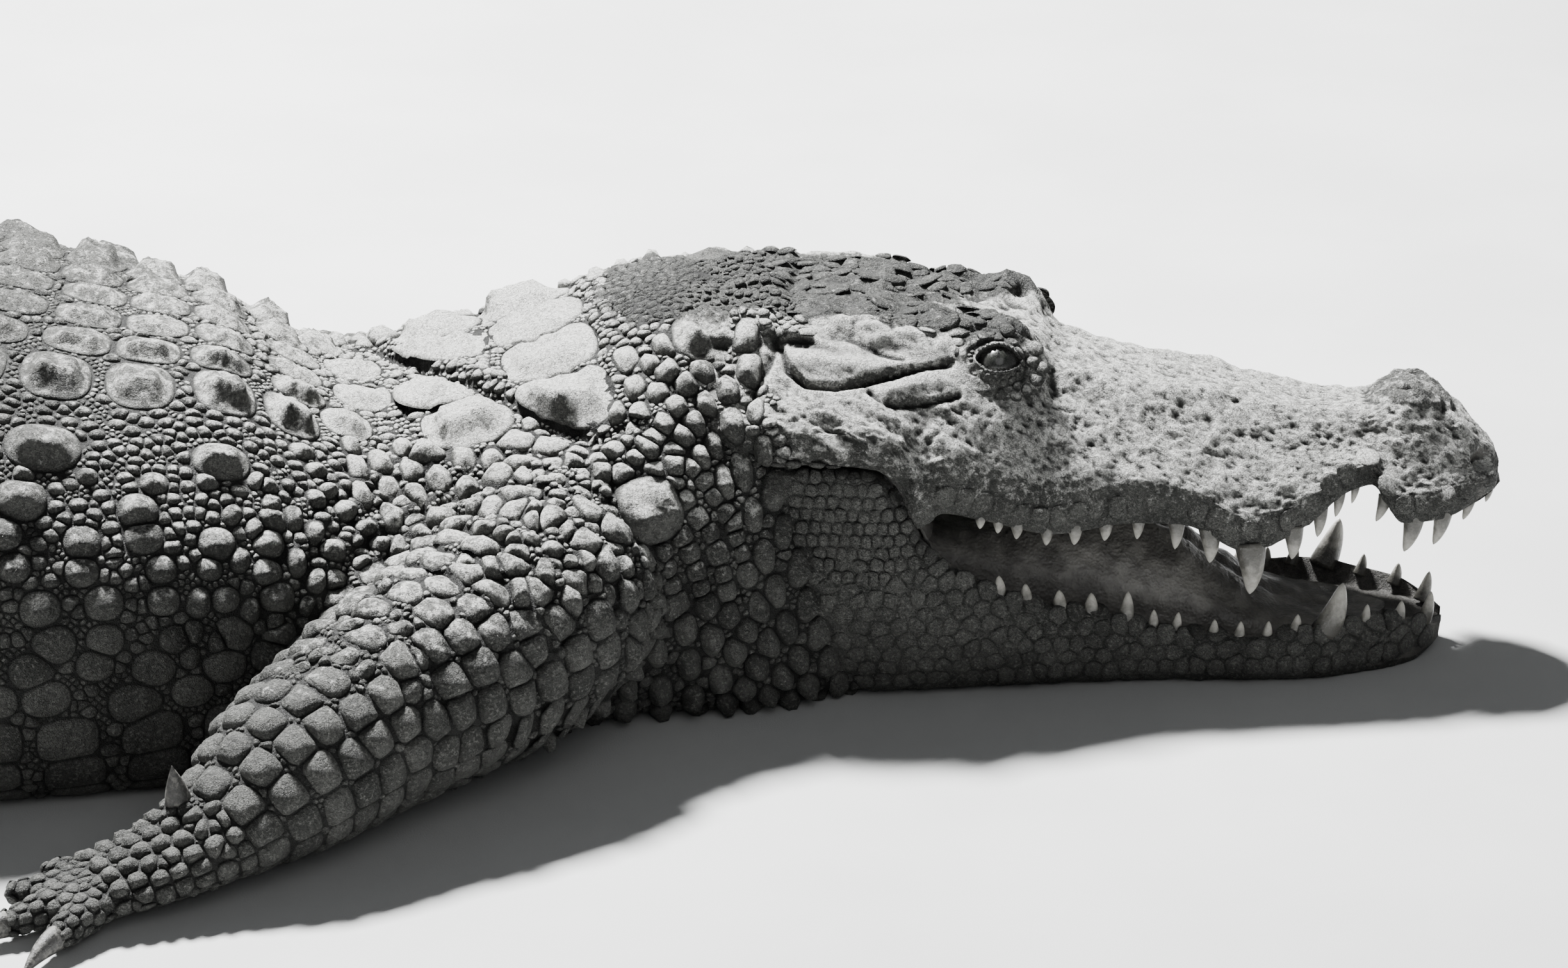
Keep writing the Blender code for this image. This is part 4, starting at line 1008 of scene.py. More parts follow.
FLOOR_DARK, FLOOR_PALE = (0.40, 0.403, 0.40), (0.45, 0.454, 0.45)
PUPIL_HALF, PUPIL_TALL, IRIS_RADIUS = 0.0010, 0.0072, 0.0088


def mouth_colour(f):
    """The mouth's mottled grey."""
    return f.mix(f.span(f.noise(60.0, 4.0), 0.35, 0.7), MOUTH_DARK, MOUTH_PALE)


def hide_finish():
    """Matt grey hide: painted shade darkens its cracks, the low skin between scales and the middles of
    pitted scales. It is paler where it stands up, and dry mud with painted light on faces that turn up
    pales it where its mud value says.

    Its attributes are rise, from 0 in a crack to 1 on a scale's top, which sets the painted shade; tone,
    one scale's own shade; mud, which is dry mud together with painted light on faces that turn up; pit,
    which is
    1 at a scale's middle, painted dark as a pit that the mesh does not sink; and lining, which is 1 inside
    the mouth.
    """
    f = Finish("hide")
    rise, tone, mud_and_lit_tops, pit, lining = (f.attribute(name) for name in ("rise", "tone", "mud_and_lit_tops", "pit", "lining"))
    grain, blotch, speck = f.noise(480.0, 4.0, 0.65), f.noise(30.0, 4.0, 0.6), f.noise(1500.0, 2.0)
    gritty = f.noise(210.0, 5.0, 0.72)
    creased = f.span(f.cells(230.0, "DISTANCE_TO_EDGE"), 0.0, 0.09)
    fine_cracks = f.span(f.cells(620.0, "DISTANCE_TO_EDGE"), 0.0, 0.16)
    winding = f.math("ABSOLUTE", f.minus(f.noise(250.0, 4.0, 0.62), 0.5))
    crack = f.span(winding, 0.004, 0.030)
    pale = f.plus(f.times(tone, 0.70), f.times(f.span(blotch, 0.35, 0.68), 0.40))
    colour = f.mix(f.span(pale, 0.05, 0.95), HIDE_DARK, HIDE_MID)
    colour = f.mix(f.times(f.span(grain, 0.48, 0.66), f.times(rise, 0.70)), colour, HIDE_PALE)
    # dry mud together with painted light: the pale colour where raised places face up
    patchy = f.plus(mud_and_lit_tops, f.times(f.minus(f.noise(110.0, 6.0, 0.78), 0.5), 1.9))
    held = f.times(f.span(rise, 0.30, 0.85), f.span(mud_and_lit_tops, 0.02, 0.20))
    caked_and_lit = f.times(f.span(patchy, 0.32, 0.66), held)
    colour = f.mix(f.times(caked_and_lit, 0.90), colour, PALE_MUD_AND_LIGHT)
    colour = f.mix(f.times(f.span(gritty, 0.57, 0.70), 0.40), colour, HIDE_DARK)
    # painted shade: thin dark lines along the winding cracks that the bump below cuts in
    colour = f.mix(f.times(f.minus(1.0, crack), 0.62), colour, HIDE_DARK)
    colour = f.mix(f.times(f.span(speck, 0.58, 0.68), 0.55), colour, HIDE_DARK)
    colour = f.mix(lining, colour, mouth_colour(f))
    # painted shade: darker where rise is low (in cracks, between scales) and along the cells' creases,
    # darker at painted pits, and mostly lifted inside the mouth
    shade = f.times(f.span(rise, 0.0, 0.60, 0.14, 1.0), f.span(creased, 0.0, 1.0, 0.86, 1.0))
    shade = f.times(shade, f.span(pit, 0.50, 0.95, 1.0, 0.5))
    shade = f.math("MAXIMUM", shade, f.times(lining, 0.9))
    grey = f.node("ShaderNodeCombineColor")
    for key in ("Red", "Green", "Blue"):
        f.link(shade, grey.inputs[key])
    colour = f.mix(1.0, colour, grey.outputs["Color"], "MULTIPLY")
    normal = None
    for height, distance in ((gritty, 0.0042), (crack, 0.0007), (creased, 0.0004), (fine_cracks, 0.0006),
                             (grain, 0.0013)):
        normal = f.bump(height, distance, normal)
    f.shader.inputs["Specular IOR Level"].default_value = 0.35
    return f.finish(colour, f.span(grain, 0.3, 0.7, 0.58, 0.80), normal)


def tooth_finish():
    """Worn ivory: stained grey at its root and streaked lengthwise. rise goes from 0 at the root to 1."""
    f = Finish("tooth")
    stain = f.plus(f.attribute("rise"), f.times(f.minus(f.noise(160.0, 4.0, 0.6), 0.5), 0.9))
    colour = f.mix(f.span(stain, 0.20, 0.95), TOOTH_STAINED, TOOTH_CLEAN)
    colour = f.mix(f.times(f.span(f.noise(900.0, 3.0), 0.55, 0.7), 0.4), colour, TOOTH_STREAK)
    normal = f.bump(f.noise(700.0, 3.0), 0.0003)
    return f.finish(colour, f.span(f.noise(300.0), 0.3, 0.7, 0.28, 0.5), normal)


def claw_finish():
    """Dark horn with dried dirt in its grain."""
    f = Finish("claw")
    dirt = f.span(f.noise(220.0, 5.0, 0.7), 0.45, 0.65)
    normal = f.bump(f.noise(500.0, 4.0, 0.7), 0.0007)
    return f.finish(f.mix(dirt, HORN, HORN_DIRT), f.span(dirt, 0.0, 1.0, 0.38, 0.8), normal)


def mouth_finish():
    """Moist, faintly mottled lining."""
    f = Finish("mouth")
    normal = f.bump(f.noise(190.0, 4.0), 0.0012)
    normal = f.bump(f.cells(420.0), 0.0005, normal)
    return f.finish(mouth_colour(f), f.span(f.noise(90.0), 0.3, 0.7, 0.38, 0.6), normal)


def eye_finish():
    """A dark grey-green iris round a narrow upright pupil, with iris and white both darkened further, all
    over, as painted shade of the overhanging lid. across and high are places on it in metres.
    """
    f = Finish("eye")
    across, high = f.attribute("across"), f.attribute("high")
    from_middle = f.math("POWER", f.plus(f.times(across, across), f.times(high, high)), 0.5)
    narrow = f.minus(1.0, f.math("POWER", f.math("DIVIDE", f.math("ABSOLUTE", high), PUPIL_TALL), 2.0))
    pupil = f.minus(f.times(narrow, PUPIL_HALF), f.math("ABSOLUTE", across))
    flecks = f.span(f.noise(1100.0, 5.0, 0.7), 0.35, 0.7)
    iris = f.mix(flecks, IRIS_DARK, IRIS_FLECK)
    iris = f.mix(f.span(from_middle, 0.55 * IRIS_RADIUS, IRIS_RADIUS), iris, IRIS_RIM)
    white = f.mix(f.span(f.noise(300.0, 3.0), 0.4, 0.7), WHITE_DARK, WHITE_PALE)
    colour = f.mix(f.span(from_middle, 0.98 * IRIS_RADIUS, 1.06 * IRIS_RADIUS), iris, white)
    colour = f.mix(f.span(pupil, -0.00015, 0.0002), colour, PUPIL)
    f.shader.inputs["Coat Weight"].default_value = 0.45
    f.shader.inputs["Coat Roughness"].default_value = 0.03
    normal = f.bump(f.noise(600.0, 3.0), 0.0001)
    return f.finish(colour, f.span(flecks, 0.0, 1.0, 0.25, 0.4), normal)


def floor_finish():
    """Plain pale ground."""
    f = Finish("floor")
    colour = f.mix(f.span(f.noise(3.0, 4.0), 0.3, 0.7), FLOOR_DARK, FLOOR_PALE)
    return f.finish(colour, 0.9, f.bump(f.noise(900.0, 3.0), 0.0002))


# Eyes, teeth, claws and tongue ----------------------------------------------------------------------

CORNEA_RISE = 0.0009


def make_eyes(finish):
    """Eyeballs with a cornea that bulges a little, and their places across and up the line of sight."""
    for name, side in (("eye_right", -1), ("eye_left", 1)):
        centre, ahead, up, out = eye_frame(side)
        polar = np.linspace(0.0, math.pi, 49)[1:-1, None]
        turn = np.linspace(0.0, 2 * math.pi, 64, endpoint=False)
        radius = EYE_RADIUS - 0.0010
        u = (radius * np.sin(polar) * np.cos(turn)).ravel()
        v = (radius * np.sin(polar) * np.sin(turn)).ravel()
        w = (radius * np.cos(polar) + 0 * turn).ravel()
        w += CORNEA_RISE * fade(np.hypot(u, v), 0.004, 0.010) * (w > 0)
        points = centre + u[:, None] * ahead + v[:, None] * up + w[:, None] * out
        points = np.vstack([points, centre + (radius + CORNEA_RISE) * out, centre - radius * out])
        columns = len(turn)
        ring, after = np.arange(columns), (np.arange(columns) + 1) % columns
        last = (len(polar) - 1) * columns
        tips = np.vstack([np.column_stack([after, ring, np.full(columns, len(u))]),
                          np.column_stack([last + ring, last + after, np.full(columns, len(u) + 1)])])
        faces = [grid_faces(len(polar), columns, closed=True), tips]
        if side > 0:
            faces = [f[:, ::-1] for f in faces]
        values = {"across": np.append(u, [0.0, 0.0]), "high": np.append(v, [0.0, 0.0])}
        place_piece(f"{name}_ball", to_body_frame(points), faces, finish, [name], values=values)


def spike(path, across, high, sizes, count):
    """A tapered horn along a path, with its tip, and how far along it each point is."""
    turn = np.linspace(0.0, 2 * math.pi, count, endpoint=False)
    rings = []
    for k, (point, size) in enumerate(zip(path, sizes)):
        way = unit(path[min(k + 1, len(path) - 1)] - path[max(k - 1, 0)])
        side = unit(across - way * dot(across, way))
        other = np.cross(way, side)
        rings.append(point + size * (np.cos(turn)[:, None] * side + high * np.sin(turn)[:, None] * other))
    points, faces = closed_tube(np.array(rings))
    return points, faces, np.repeat(np.linspace(0.0, 1.0, len(path)), count)


def make_teeth(name, rows, row_half, lip, way, finish):
    """A jaw's teeth: stout at the root, curved in and back to a worn tip."""
    parts, along = [], []
    for x, length, width, lean in rows:
        for side in (-1, 1):
            y = side * max(float(through(row_half, x)) - TOOTH_INSET, 0.002)
            z = float(through(lip, x))
            share = np.linspace(0.0, 1.0, 15)
            small = 1 - 0.18 * float(fade(length, 0.011, 0.016))
            reach = -0.6 * TOOTH_ROOT + share * (0.6 * TOOTH_ROOT + small * length)
            bow = 0.10 * length * np.sin(share * math.pi)
            path = np.column_stack([x + lean * share + bow * 0.5, y + side * bow * 0.8, z + way * reach])
            sizes = 0.5 * width * np.maximum(1 - share, 0.0) ** 0.56 * (1.04 + 0.06 * np.sin(2.6 * share))
            sizes[-1] = 0.03 * width
            points, faces, place = spike(path, np.array([1.0, 0.0, 0.0]), 0.80, sizes, 18)
            parts.append((to_body_frame(points), faces))
            along.append(place)
    points, faces = join(parts)
    place_piece(name, points, faces, finish, values={"rise": np.concatenate(along)})


CLAW_ROOT = 0.004  # how deep a claw sits in its digit


def make_claws(finish):
    """A claw on each clawed digit: bent down to the ground, and straight on the one that is folded up."""
    for name, side, stations, digits in limbs():
        found = digits_of(side, stations, digits)
        for number, (_, way, _, radius, clawed, raised, tip) in enumerate(found, 1):
            if not clawed:
                continue
            size = RAISED_CLAW_LENGTH if raised else CLAW_LENGTH
            lift = max(tip[2], radius * 0.55)
            share = np.linspace(0.0, 1.0, 16)
            path = tip + way * (0.0004 - CLAW_ROOT + (size + CLAW_ROOT) * share)[:, None]
            if not raised:
                bent = lift - CLAW_CURVE * size * share**2
                path[:, 2] = np.maximum(bent, 0.6 * CLAW_RADIUS * (1 - share))
            sizes = 0.74 * CLAW_RADIUS * np.maximum(1 - share**1.5, 0.02)
            across = unit(np.cross(way, UP))
            points, faces, _ = spike(path, across, 1.25, sizes, 20)
            points[:, 2] = np.maximum(points[:, 2], 0.0003)
            place_piece(f"{name}_claw_{number}", points, faces, finish, [f"claw_{name}_{number}"])


def tongue_outline(x):
    """Half of the tongue's section, which lies on the mouth's floor."""
    tip = max(x - 0.33, 0.0) / 0.088
    half = 0.66 * through(JAW_HALF, x) * math.sqrt(max(1 - tip**2, 0.001))
    base = through(JAW_TOP, x) - through(FLOOR_DEPTH, x) + 0.003
    crown = base + max((through(TONGUE, x) - base) * float(fade(x, 0.27, 0.43)), 0.001)
    angle = np.linspace(0.5 * math.pi, 0.0, 6)
    outline = [(half * math.cos(a), base + (crown - base) * math.sin(a) ** 0.7) for a in angle]
    return [*outline, (0.0, base)]


def make_tongue(finish):
    """A low tongue with a groove along its middle."""
    places = np.linspace(TONGUE[0][0] - 0.03, 0.417, 110)
    points, faces, normals = grown_grid(tongue_outline, places, (8, 8, 8, 8, 8, 6), 0.001)
    groove = np.exp(-(points[:, 1] / 0.006) ** 2) * fade(normals[:, 2], 0.8, 0.3)
    folds = rough(points * [1.0, 0.45, 1.0], 75.0, 4)
    points = points + normals * (0.0018 * folds - 0.003 * groove)[:, None]
    place_piece("tongue_pad", to_body_frame(points), faces, finish, ["tongue"])


# The scene ------------------------------------------------------------------------------------------

AIM = np.array([-0.007, 0.0, 0.1033])
VIEW_RISE, VIEW_FAR = math.radians(22.0), 3.5
SENSOR, IMAGE_WIDTH = 36.0, 2448
PIXELS_PER_METRE = 2216  # at the aim


def make_camera():
    """A level view of the head and shoulders, from the animal's right and a little above."""
    camera = bpy.data.cameras.new("camera")
    camera.sensor_width = SENSOR
    camera.lens = SENSOR * PIXELS_PER_METRE * VIEW_FAR / IMAGE_WIDTH
    holder = bpy.data.objects.new("camera", camera)
    holder.location = AIM + SHIFT + VIEW_FAR * np.array([0.0, -math.cos(VIEW_RISE), math.sin(VIEW_RISE)])
    holder.rotation_euler = (math.pi / 2 - VIEW_RISE, 0.0, 0.0)
    bpy.context.scene.collection.objects.link(holder)
    bpy.context.scene.camera = holder


def make_light(name, way, far, size, power):
    """A square soft light that shines on the head and shoulders from the way given."""
    light = bpy.data.lights.new(name, "AREA")
    light.size = size
    light.energy = power
    holder = bpy.data.objects.new(name, light)
    way = Vector(way).normalized()
    holder.location = Vector(SHIFT) + way * far
    holder.rotation_euler = way.to_track_quat("Z", "Y").to_euler()
    bpy.context.scene.collection.objects.link(holder)


FLOOR_HALF = 60.0
SKY, SKY_STRENGTH = (0.92, 0.96, 1.0, 1.0), 0.135


def make_studio():
    """A wide floor, a soft key light from behind and above, a weak fill from the front, and a pale sky."""
    corners = FLOOR_HALF * np.array([[-1.0, -1, 0], [1, -1, 0], [1, 1, 0], [-1, 1, 0]])
    floor = bpy.data.objects.new("floor", fill(corners, [np.array([[0, 1, 2, 3]])], "floor"))
    floor.data.materials.append(floor_finish())
    bpy.context.scene.collection.objects.link(floor)
    make_light("key", way=(-0.34, 0.48, 1.0), far=4.2, size=0.6, power=1600.0)
    make_light("fill", way=(0.2, -1.0, 0.8), far=4.5, size=3.0, power=36.0)
    world = bpy.data.worlds.new("studio")
    world.use_nodes = True
    sky = world.node_tree.nodes["Background"]
    sky.inputs["Color"].default_value = SKY
    sky.inputs["Strength"].default_value = SKY_STRENGTH
    bpy.context.scene.world = world


# above the lips, both the mud and the painted light on up-facing faces fade in
CLEAN_LIP = [(0.0, 0.010), (0.07, 0.012), (0.13, 0.036), (0.5, 0.036)]  # (x, how high mud fades in)


def table_top(x, y, z):
    """1 on the skull's flat top and what lies behind it at that height, 0 elsewhere."""
    return fade(z, 0.247, 0.237) * fade(x, 0.165, 0.185) * fade(np.abs(y), 0.066, 0.080)


def mud_and_lit_tops_at(points, normals):
    """How much dry mud, with painted light on what faces up, lies at places on the animal: on what faces
    up, most on snout, cheeks and nape, and less round the eyes, where shade is painted.
    """
    x, y, z = from_body_frame(points).T
    low_neck = fade(x, -0.30, -0.36) * fade(-x, 0.0, -0.03) * fade(z, 0.15, 0.20)
    # painted light: the more a face turns up, the more pale colour it gets; the lower neck's knobs count as
    # turned up more
    facing_up = fade(normals[:, 2] + 0.22 * low_neck, 0.82, 0.12)
    on_head = fade(x, 0.0, -0.03)
    band = through(CLEAN_LIP, x)
    above_lip = fade(z - through(LIP, x), band, -0.010)
    # painted shade: the lids and the skin round the eyes get less of the pale colour
    by_eye = fade(np.linalg.norm(np.column_stack([x, np.abs(y), z]) - EYE_CENTRE, axis=1), 0.026, 0.040)
    dark_top = table_top(x, y, z) * fade(x + 0.02 * np.sin(90 * y), -0.150, -0.175)
    nose = fade(from_nose(x, y), 0.8, 1.1)
    back = (0.27 + 0.29 * fade(x, -0.34, -0.56)) * facing_up * fade(z, 0.16, 0.05)
    nape = fade(x, -0.26, -0.34) * fade(x, -0.10, -0.05) * fade(z, 0.215, 0.17)
    head = above_lip * (0.36 + 0.62 * facing_up) * fade(z, 0.12, 0.10)
    head *= (1 - 0.6 * nose) * (1 - 0.5 * by_eye)
    mud_and_lit_tops = back * (1 - on_head) + head * on_head + 0.80 * nape * facing_up
    return np.clip(mud_and_lit_tops * (1 - 0.80 * dark_top), 0.0, 1.0)


def tone_at(points):
    """The skin's own shade between scales: darkest on the skull's flat top."""
    x, y, z = from_body_frame(points).T
    return 0.35 - 0.30 * table_top(x, y, z) * fade(x, 0.0, -0.03)


# Scales ---------------------------------------------------------------------------------------------
# A scale has a place and a way ahead on the skin, half a length and half a width, a height, a keel along
# its middle, a tilt that lifts its hind edge, a dome (2 is round, 5 is flat) and a corner (2 is oval, 5 is
# square), with its own shade, a pit painted dark at its middle, and the least rise of its rim, which keeps
# the painted shade of its base off the rim. Scales are shaped rank by rank. Each is stopped halfway to its
# equals and at the edge of its betters.

RANKS = [  # corners, rings from the buried edge inwards, gap to the next scale
    (44, (1.0, 0.97, 0.90, 0.78, 0.64, 0.48, 0.32, 0.15), 0.0009),
    (20, (1.0, 0.94, 0.76, 0.38), 0.0005),
    (12, (1.0, 0.91, 0.50), 0.0005),
    (8, (1.0, 0.66), 0.0003),
]
CROWDED = 0.52  # how near scales of one rank may come, as a share of their sizes together
BURIED = 0.4  # how deep a scale's edge lies in the skin, as a share of its height
CORNER_POWER = 13.0  # higher is sharper corners where scales meet
EQUALS, BETTERS = 10, 4  # how many neighbours stop a scale
PATCH = 0.0015  # half the size of a scale's patch on the map
FIELDS = ("long", "wide", "height", "keel", "tilt", "dome", "corner", "tone", "pit", "rim")
CLEAR_OF_CREASE = 0.0036
FAR_OFF = 0.012  # scales that would start farther than this from the skin are left out
LEAST_ROOM = 0.30  # beside its betters, as a share of a scale's smaller half size
SMALLEST = 0.0004  # the least a scale may reach
FACING_AWAY = -0.2  # scales whose normals agree less than this do not stop each other
KEEL_AT, KEEL_ABOVE, KEEL_BELOW = 0.30, 1.30, 0.40  # a keel's line below the middle, and its slopes' widths
DEEP_FOLD = -0.0031  # folds of the head that are deeper than this stay clear of scales
ZONES = ("head", "neck", "trunk", "tail", "arm_right", "arm_left", "leg_right", "leg_left")


def in_crease(places, room):
    """Whether places lie nearer than room to the neck's crease or to a deep fold of the head."""
    both = mirrored(from_body_frame(places))
    found = distance_to(places, [body_at(*row) for row in NECK_CREASE])[0] < room
    for line, _, rise in HEAD_FOLDS:
        if rise < DEEP_FOLD and len(line) > 2:
            found |= distance_to(both, line)[0] < 0.6 * room
    return found


def unwrapped(places):
    """Each place's zone and its spot on the map, where every part is unrolled about its own middle line."""
    along_body = np.linspace(0.0, BODY_LENGTH, 60)
    here, _, _ = spine(along_body)
    height = np.array([0.5 * (body_at(s, 0.0, 1)[2] + body_at(s, 1.0, 1)[2]) for s in along_body])
    body_line = here * [1, 1, 0] + height[:, None] * UP
    head_line = to_body_frame(np.array([[-0.05, 0.0, 0.15], [0.50, 0.0, 0.11]]))
    far, along, uv = unrolled(places, body_line, 0.02, 0.02, 0.96, 0.40)
    zone = 1 + (along > NECK_END).astype(int) + (along > TAIL_START)
    straight = from_body_frame(places)
    on_head = straight[:, 0] > REAR_X + 0.004
    zone = np.where(on_head, 0, zone)
    uv = np.where(on_head[:, None], unrolled(places, head_line, 0.02, 0.46, 0.46, 0.36)[2], uv)
    for k, (_, _, stations, _) in enumerate(limbs()):
        far, along, limb_uv = unrolled(places, np.array(stations)[:, :3], 0.52, 0.46 + 0.12 * k, 0.46, 0.10)
        on_limb = (far < 0.10) & (along > 0.09) & ~on_head
        zone = np.where(on_limb, 4 + k, zone)
        uv = np.where(on_limb[:, None], limb_uv, uv)
    return zone, uv


def unrolled(places, line, left, bottom, width, height):
    """Places unrolled about a line into a rectangle of the map: along it across, and round it upwards."""
    far, along, way, foot = distance_to(places, line)
    across = unit(np.cross(way, UP))
    high = np.cross(across, way)
    turn = np.arctan2(dot(places - foot, across), dot(places - foot, high)) / (2 * math.pi) + 0.5
    length = np.sum(np.linalg.norm(np.diff(line, axis=0), axis=1))
    return far, along, np.column_stack([left + width * along / length, bottom + height * turn])


def tree_of(points):
    """A tree that finds the nearest of points."""
    tree = KDTree(len(points))
    for k, point in enumerate(points):
        tree.insert(Vector(point), k)
    tree.balance()
    return tree


def turn_of(way, ahead, left):
    """The directions of ways in planes that are spanned by ahead and left."""
    return np.arctan2(dot(way, left), dot(way, ahead))


def oval_reach(angle, long, wide, power):
    """How far superellipses of half length long and half width wide reach at angles."""
    return (np.abs(np.cos(angle) / long) ** power + np.abs(np.sin(angle) / wide) ** power) ** (-1.0 / power)


def over_rings(edge, rings):
    """Lengths at the scales' edges, drawn in on each of their rings and 0 at their middles."""
    drawn_in = (rings[None, :, None] * edge[:, None]).reshape(len(edge), -1)
    return np.append(drawn_in, np.zeros((len(edge), 1)), axis=1)


class Scales:
    """Scales of one rank, first as a list of rows and then as columns."""

    def __init__(self, rank):
        self.rank = rank
        self.batches = []

    def add(self, points, ahead, **sizes):
        """Adds scales at points, with one size for all of them or one for each."""
        row = {"keel": 0.0, "tilt": 0.0, "dome": 2.6, "corner": 2.3, "pit": 0.0, "rim": 0.0, **sizes}
        columns = [np.broadcast_to(np.asarray(row[key], float), (len(points),)) for key in FIELDS]
        self.batches.append(np.column_stack([points, ahead, *columns]))

    def lay(self, skin, betters):
        """Settles the scales on the skin, drops those with no room and shapes the outlines of the rest."""
        table = np.vstack(self.batches)
        place, normal, off = skin.settle(table[:, :3])
        room = 0.0 if self.rank == 0 else CLEAR_OF_CREASE * (0.6 if self.rank == 3 else 1.0)
        table = np.hstack([place, normal, table[:, 3:]])[(off < FAR_OFF) & ~in_crease(place, room)]
        self.take(table[self.first_come(table)])
        self.angle = np.linspace(0.0, 2 * math.pi, RANKS[self.rank][0], endpoint=False)
        for better in betters:
            room = self.room_beside(better)
            self.take(self.table[room > LEAST_ROOM * np.minimum(self.long, self.wide)])
        self.shape(betters)
        self.zone, self.uv = unwrapped(self.place)
        return self

    def first_come(self, table):
        """Which scales keep clear of those of their own rank that came before them."""
        size = np.minimum(table[:, 9], table[:, 10])
        tree = tree_of(table[:, :3])
        kept = np.ones(len(table), bool)
        widest = size.max()
        for k, point in enumerate(table[:, :3]):
            for _, other, distance in tree.find_range(Vector(point), CROWDED * (size[k] + widest)):
                if other < k and kept[other] and distance < CROWDED * (size[k] + size[other]):
                    kept[k] = False
                    break
        return kept

    def take(self, table):
        """Keeps a table of rows as columns: place, normal, the ways ahead and left, and the fields."""
        self.table = table
        self.place, self.normal = table[:, :3], table[:, 3:6]
        ahead = table[:, 6:9] - self.normal * dot(table[:, 6:9], self.normal)[:, None]
        self.ahead = unit(ahead)
        self.left = np.cross(self.normal, self.ahead)
        for k, key in enumerate(FIELDS):
            setattr(self, key, table[:, 9 + k])

    def cap(self, angle):
        """How far each scale would reach at angles (scales, n), with nothing beside it."""
        return oval_reach(angle, self.long[:, None], self.wide[:, None], self.corner[:, None])

    def nearest_in(self, other, count):
        """Indices and distances of the count nearest scales in other."""
        tree = tree_of(other.place)
        count = min(count, len(other.place))
        found = [tree.find_n(Vector(point), count) for point in self.place]
        index = np.array([[hit[1] for hit in row] for row in found])
        distance = np.array([[hit[2] for hit in row] for row in found])
        return index, distance

    def angle_to(self, way):
        """The direction of ways (scales, n, 3) in each scale's own plane."""
        return turn_of(way, self.ahead[:, None], self.left[:, None])

    def reach_towards(self, other, index, way):
        """How far the scales of other at index reach towards these, which lie along way from them."""
        angle = turn_of(way, other.ahead[index], other.left[index])
        step = 2 * math.pi / len(other.angle)
        k = (angle % (2 * math.pi)) / step
        low = k.astype(int) % len(other.angle)
        high = (low + 1) % len(other.angle)
        return other.outline[index, low] * (1 - k % 1) + other.outline[index, high] * (k % 1)

    def same_side(self, other, index):
        """Whether the scales of other at index do not face away from these, as across a thin fold."""
        return dot(self.normal[:, None], other.normal[index]) > FACING_AWAY

    def room_beside(self, better):
        """How far each scale's place lies outside the nearest of its betters."""
        index, distance = self.nearest_in(better, BETTERS)
        way = self.place[:, None] - better.place[index]
        room = distance - self.reach_towards(better, index, way)
        return np.where(self.same_side(better, index), room, 1.0).min(axis=1)

    def stops_of(self, betters):
        """What stops the scales: (directions, room that way, whether it counts), each (scales, n)."""
        gap = RANKS[self.rank][2]
        index, distance = self.nearest_in(self, EQUALS)
        way = self.place[index] - self.place[:, None]
        towards = self.angle_to(way)
        back = turn_of(-way, self.ahead[index], self.left[index])
        theirs = oval_reach(back, self.long[index], self.wide[index], self.corner[index])
        own = self.cap(towards)
        usable = (distance > 1e-6) & self.same_side(self, index) & (distance < 1.5 * (own + theirs))
        stops = [(towards, distance * own / (own + theirs) - gap / 2, usable)]
        for better in betters:
            index, distance = self.nearest_in(better, BETTERS)
            way = better.place[index] - self.place[:, None]
            room = distance - self.reach_towards(better, index, -way) - gap / 2
            stops.append((self.angle_to(way), np.maximum(room, SMALLEST), self.same_side(better, index)))
        crease = [body_at(*row) for row in NECK_CREASE]
        for a, b in zip(crease, crease[1:]):
            distance, _, _, foot = distance_to(self.place, [a, b])
            room = np.maximum(distance - CLEAR_OF_CREASE, SMALLEST)[:, None]
            stops.append((self.angle_to((foot - self.place)[:, None]), room, (distance < 0.07)[:, None]))
        return stops

    def shape(self, betters):
        """Finds the outline of each scale: its own oval, flattened wherever something stops it."""
        inverse = self.cap(self.angle[None]) ** -CORNER_POWER
        for towards, room, usable in self.stops_of(betters):
            for k in range(towards.shape[1]):
                slant = np.cos(self.angle[None] - towards[:, k, None])
                near = (np.maximum(slant, 0.0) / np.maximum(room[:, k, None], 1e-4)) ** CORNER_POWER
                inverse += np.where(usable[:, k, None] & (slant > 0.05), near, 0.0)
        self.outline = inverse ** (-1.0 / CORNER_POWER)

    def spread(self, chosen, a, b):
        """Points in the chosen scales' own planes, a ahead of their places and b to the left."""
        return (self.place[chosen][:, None] + a[..., None] * self.ahead[chosen][:, None]
                + b[..., None] * self.left[chosen][:, None])

    def heights(self, chosen, a, b, out, size, flat):
        """How high the chosen scales stand at each point, and at most, with a keel where they have one."""
        height, keel, tilt, dome, long, wide = (
            getattr(self, key)[chosen, None] for key in ("height", "keel", "tilt", "dome", "long", "wide"))
        grown = np.clip(size / (0.75 * np.minimum(long, wide)), 0.35, 1.0)
        fitted = height * grown
        h = fitted * np.maximum(1 - out**dome, 0.0) ** 0.5
        behind = np.clip(0.5 - 0.5 * a / long, 0.0, 1.0)
        below = -b / wide * np.where(self.left[chosen][:, None, 2] < 0, -1.0, 1.0)
        from_ridge = below - KEEL_AT
        ridge = np.clip(np.where(from_ridge < 0, 1 + from_ridge / KEEL_ABOVE, 1 - from_ridge / KEEL_BELOW),
                        0.0, 1.0)
        crest = fade(np.abs(a / long + 0.04), 0.38, 0.80) * (0.72 + 0.28 * behind)
        h += keel * grown * ridge * crest * fade(out, 0.6, 0.99)
        h += tilt * behind * fade(out, 0.7, 1.0)
        if self.rank == 0:
            pitted = rough(flat.reshape(-1, 3), 95.0, 4).reshape(h.shape)
            h += 0.0019 * pitted * fade(out, 0.8, 1.0)
        return np.where(out >= 1.0, -BURIED * fitted, h), fitted

